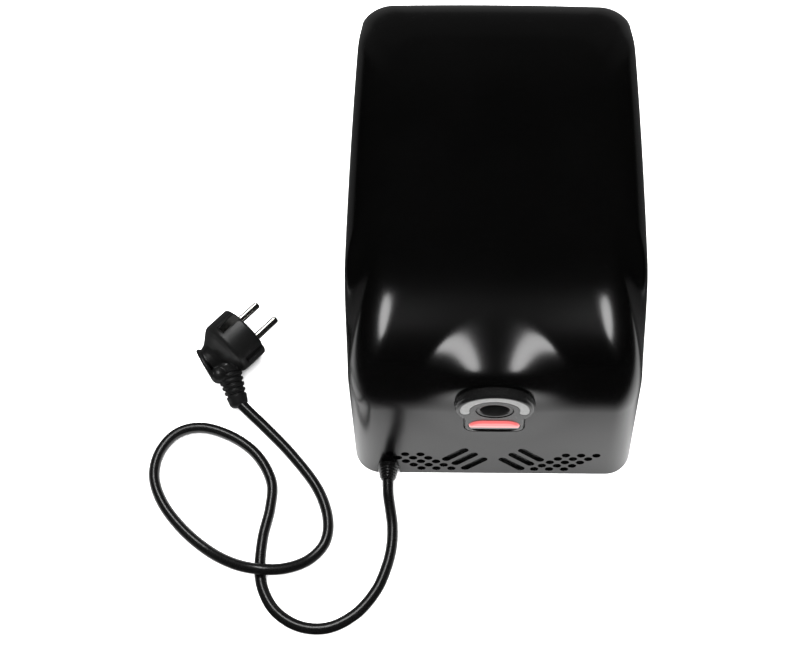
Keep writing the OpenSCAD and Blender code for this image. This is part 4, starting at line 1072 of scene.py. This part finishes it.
def make_plug():
    """Moulded plug body, its pins and its earth contacts."""
    frame_of_plug = on_plug()
    body = blank("plug_moulding", stack(body_sections()))
    boolean(body, blank("lip", pull_lip()), "UNION")
    boolean(body, blank("sleeve", ribbed_sleeve()), "UNION")
    knuckle = lathe([(0, -KNUCKLE_R)] + arc((0, 0), KNUCKLE_R, -75, 75, 13) + [(0, KNUCKLE_R)], 48)
    boolean(body, blank("knuckle", (knuckle[0] + KNUCKLE_AT, knuckle[1])), "UNION")
    cuts = []
    for s in (-1, 1):
        cuts.append(block(GUIDE_GROOVE, (s * PLUG_R, 0, GROOVE_Z)))
        cuts.append(block(CLIP_GROOVE, (0, s * PLUG_R, GROOVE_Z)))
    boolean(body, blank("grooves", join(cuts)))
    remesh = body.modifiers.new("one_skin", "REMESH")
    remesh.mode = "VOXEL"
    remesh.voxel_size = 0.42 * MM
    soften = body.modifiers.new("soften", "SMOOTH")
    soften.factor = 0.5
    soften.iterations = 4
    apply_modifiers(body)
    body.data.transform(Matrix.Scale(MM, 4) @ frame_of_plug @ Matrix.Scale(1 / MM, 4))
    dress(body, "root", "plug_pvc", 180, ["plug_body"])

    pins = []
    tip = [(PIN_R, PIN_L - 1.8)] + arc((PIN_R - 1.5, PIN_L - 1.5), 1.5, 10, 75, 6)[1:]
    profile = [(0, -10), (PIN_R, -10)] + tip + [(0, PIN_L)]
    for s in (-1, 1):
        v, f = lathe(profile, 48)
        pins.append((oriented(v + [s * PIN_PITCH / 2, 0, 0], frame_of_plug), f))
    pin_piece = new_piece("contact_pins", join(pins), "root", "nickel_brass", 40, ["plug_pins"])

    # each clip is a strip whose bend is half a sine wave
    t = np.linspace(0, 1, 24)
    strip = np.column_stack([PLUG_R - 1.5 + 0.8 * np.sin(t * math.pi), CLIP_FOOT + CLIP_L * t])
    shape = np.vstack([strip, strip[::-1] - [CLIP_T, 0]])
    clips = []
    for s in (-1, 1):
        v, f = stack([np.column_stack([np.full(len(shape), x), shape]) for x in (-CLIP_HALF, CLIP_HALF)])
        if s < 0:
            v = v * [-1, -1, 1]
        clips.append((oriented(v, frame_of_plug), f))
    clip_piece = new_piece("earth_contacts", join(clips), "root", "nickel_brass", 40, ["earth_clips"])
    return body, pin_piece, clip_piece


plug, pins, clips = make_plug()


# ---------------- heater element and springs
slot_of = {part["node"]: part["material_slot"] for part in RECORD["subparts"]}


def make_element():
    """The heater's wire: a helix about the outlet axis whose radius grows evenly towards the fan."""
    low, high = box_mm("heater_coils")
    turns, steps, wire, margin = 11, 72, 0.55, 2
    inner_r, growth = 13, 14
    t = np.linspace(0, 1, turns * steps)
    a, r = TAU * turns * t, inner_r + growth * t
    along_axis = low[1] + margin + (high[1] - low[1] - 2 * margin) * t
    path = np.column_stack([r * np.cos(a), along_axis, AXIS_Z + r * np.sin(a)])
    new_piece("heater_element", wire_along(path, wire, (0, 1, 0), 10), "root", "resistance_wire", 60,
              ["heater_coils"])


def make_brush_springs():
    """Each brush's spring: a helix of even rise."""
    turns, steps, wire, travel = 5, 24, 0.35, 4.0
    t = np.linspace(0, 1, turns * steps + 1)
    a = TAU * turns * t
    for where, side in (("upper", 1), ("lower", -1)):
        node = "brush_spring_" + where
        low, high = box_mm(node)
        middle, length = (low + high) / 2, high[2] - low[2]
        brush_end, seat = middle[2] - side * length / 2, middle[2] + side * length / 2
        radius = (high[0] - low[0]) / 2 - wire
        rise = brush_end + side * (wire + (length - 2 * wire) * t)
        path = np.column_stack([middle[0] + radius * np.cos(a), middle[1] + radius * np.sin(a), rise])
        spring = new_piece(where + "_spring_wire", wire_along(path, wire, (0, 0, 1), 12), "root",
                           slot_of[node], 60, [node])
        seat * MM
        (length - travel) / length
        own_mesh(spring)


make_element()
make_brush_springs()


# ---------------- CAD nodes that stay
for name, node in NODES.items():
    node.data.materials.clear()
    node.data.materials.append(finish(slot_of[name]))


# ---------------- floor, light and sky
FLOOR_HALF, FLOOR_Z = 3.0, -0.0003


def make_floor():
    """A pale plain floor under the object. In reflections it is painted near black, save a painted pool of
    light in front that stays pale.
    """
    corners = [(x * FLOOR_HALF, y * FLOOR_HALF, FLOOR_Z) for x, y in ((-1, -1), (1, -1), (1, 1), (-1, 1))]
    mesh = bpy.data.meshes.new("floor")
    mesh.from_pydata(corners, [], [(0, 1, 2, 3)])
    floor = bpy.data.objects.new("floor", mesh)
    bpy.context.scene.collection.objects.link(floor)
    f = Finish("floor_paint")
    f.set(Base_Color=(0.9, 0.9, 0.9), Roughness=1.0, Specular_IOR_Level=0.0)
    y = f.axis("Y")
    # painted pool of light: in reflections only this band in front of the air end keeps the pale floor
    painted_light_pool = 0.55 * f.ramp(y, -0.24, -0.145) * f.ramp(y, -0.13, -0.09, 1, 0.06)
    mirrored = f.add("ShaderNodeLightPath", out="Is Glossy Ray")
    # painted shade: a near-black floor that only reflections see, outside the painted pool of light
    painted_dark_reflection = f.add("ShaderNodeBsdfDiffuse", Color=(0.004, 0.004, 0.004, 1))
    paint = Value(f.tree, f.shader.outputs[0])
    mixed = f.add("ShaderNodeMixShader", sockets={0: mirrored * (1 - painted_light_pool), 1: paint, 2: painted_dark_reflection})
    plug_in(f.tree, f.tree.nodes["Material Output"].inputs["Surface"], mixed)
    floor.data.materials.append(f.material)


LIT_MIDDLE = Vector((0, -0.1, 0.1))


def soft_box(name, way, far, size, power, only=(), glossy=True, diffuse=False, spin=0.0):
    """An area light seen in direction way from the object, spun about that line by spin.
    It lights every piece, or only some."""
    data = bpy.data.lights.new(name, "AREA")
    data.shape = "ELLIPSE"
    data.size, data.size_y = size
    data.energy = power
    lamp = bpy.data.objects.new(name, data)
    toward = Vector(way).normalized()
    place = toward * far + LIT_MIDDLE
    facing = (-toward).to_track_quat("-Z", "Y").to_matrix().to_4x4()
    lamp.matrix_world = Matrix.Translation(place) @ facing @ Matrix.Rotation(spin, 4, "Z")
    lamp.visible_glossy = glossy
    lamp.visible_diffuse = diffuse
    bpy.context.scene.collection.objects.link(lamp)
    if only:
        lit = bpy.data.collections.new(name + "_lights")
        for piece in only:
            lit.objects.link(piece)
        lamp.light_linking.receiver_collection = lit


def make_sky():
    """World: pale to the eye, even fill for matt surfaces, a dark studio for reflections."""
    world = bpy.data.worlds.new("studio")
    world.use_nodes = True
    bpy.context.scene.world = world
    world.node_tree.nodes.clear()
    sky = Nodes(world.node_tree)
    place = sky.add("ShaderNodeTexCoord", out="Generated")
    ahead = sky.add("ShaderNodeSeparateXYZ", out="Y", Vector=place)
    camera = sky.add("ShaderNodeLightPath", out="Is Camera Ray")
    glossy = sky.add("ShaderNodeLightPath", out="Is Glossy Ray")
    far_glow = ahead.math("SMOOTH_MIN", ahead.math("MAXIMUM", ahead - 0.62, 0.0), 0.1, 0.04)
    level = camera * 1.0 + glossy * (far_glow * 0.7) + (1 - camera) * (1 - glossy) * 1.6
    shade = sky.add("ShaderNodeBackground", Strength=level)
    sky.add("ShaderNodeOutputWorld", Surface=shade)


make_floor()
make_sky()
soft_box("overhead", (0, 0.1, 1), 1.8, (2.4, 2.4), 140, glossy=False, diffuse=True)
for side in (-1, 1):
    soft_box("front_box", (side * 0.44, -0.62, 0.66), 1.5, (0.43, 1.2), 14, [cover],
             spin=side * math.radians(-34))
soft_box("plug_panel", (-0.45, 0.55, 0.7), 1.2, (1.1, 0.8), 9, [pins])
soft_box("lead_panel", (-0.2, 0.3, 0.93), 1.4, (0.3, 0.9), 9, [cord, gland, plug])
bpy.context.scene.view_settings.view_transform = "Standard"
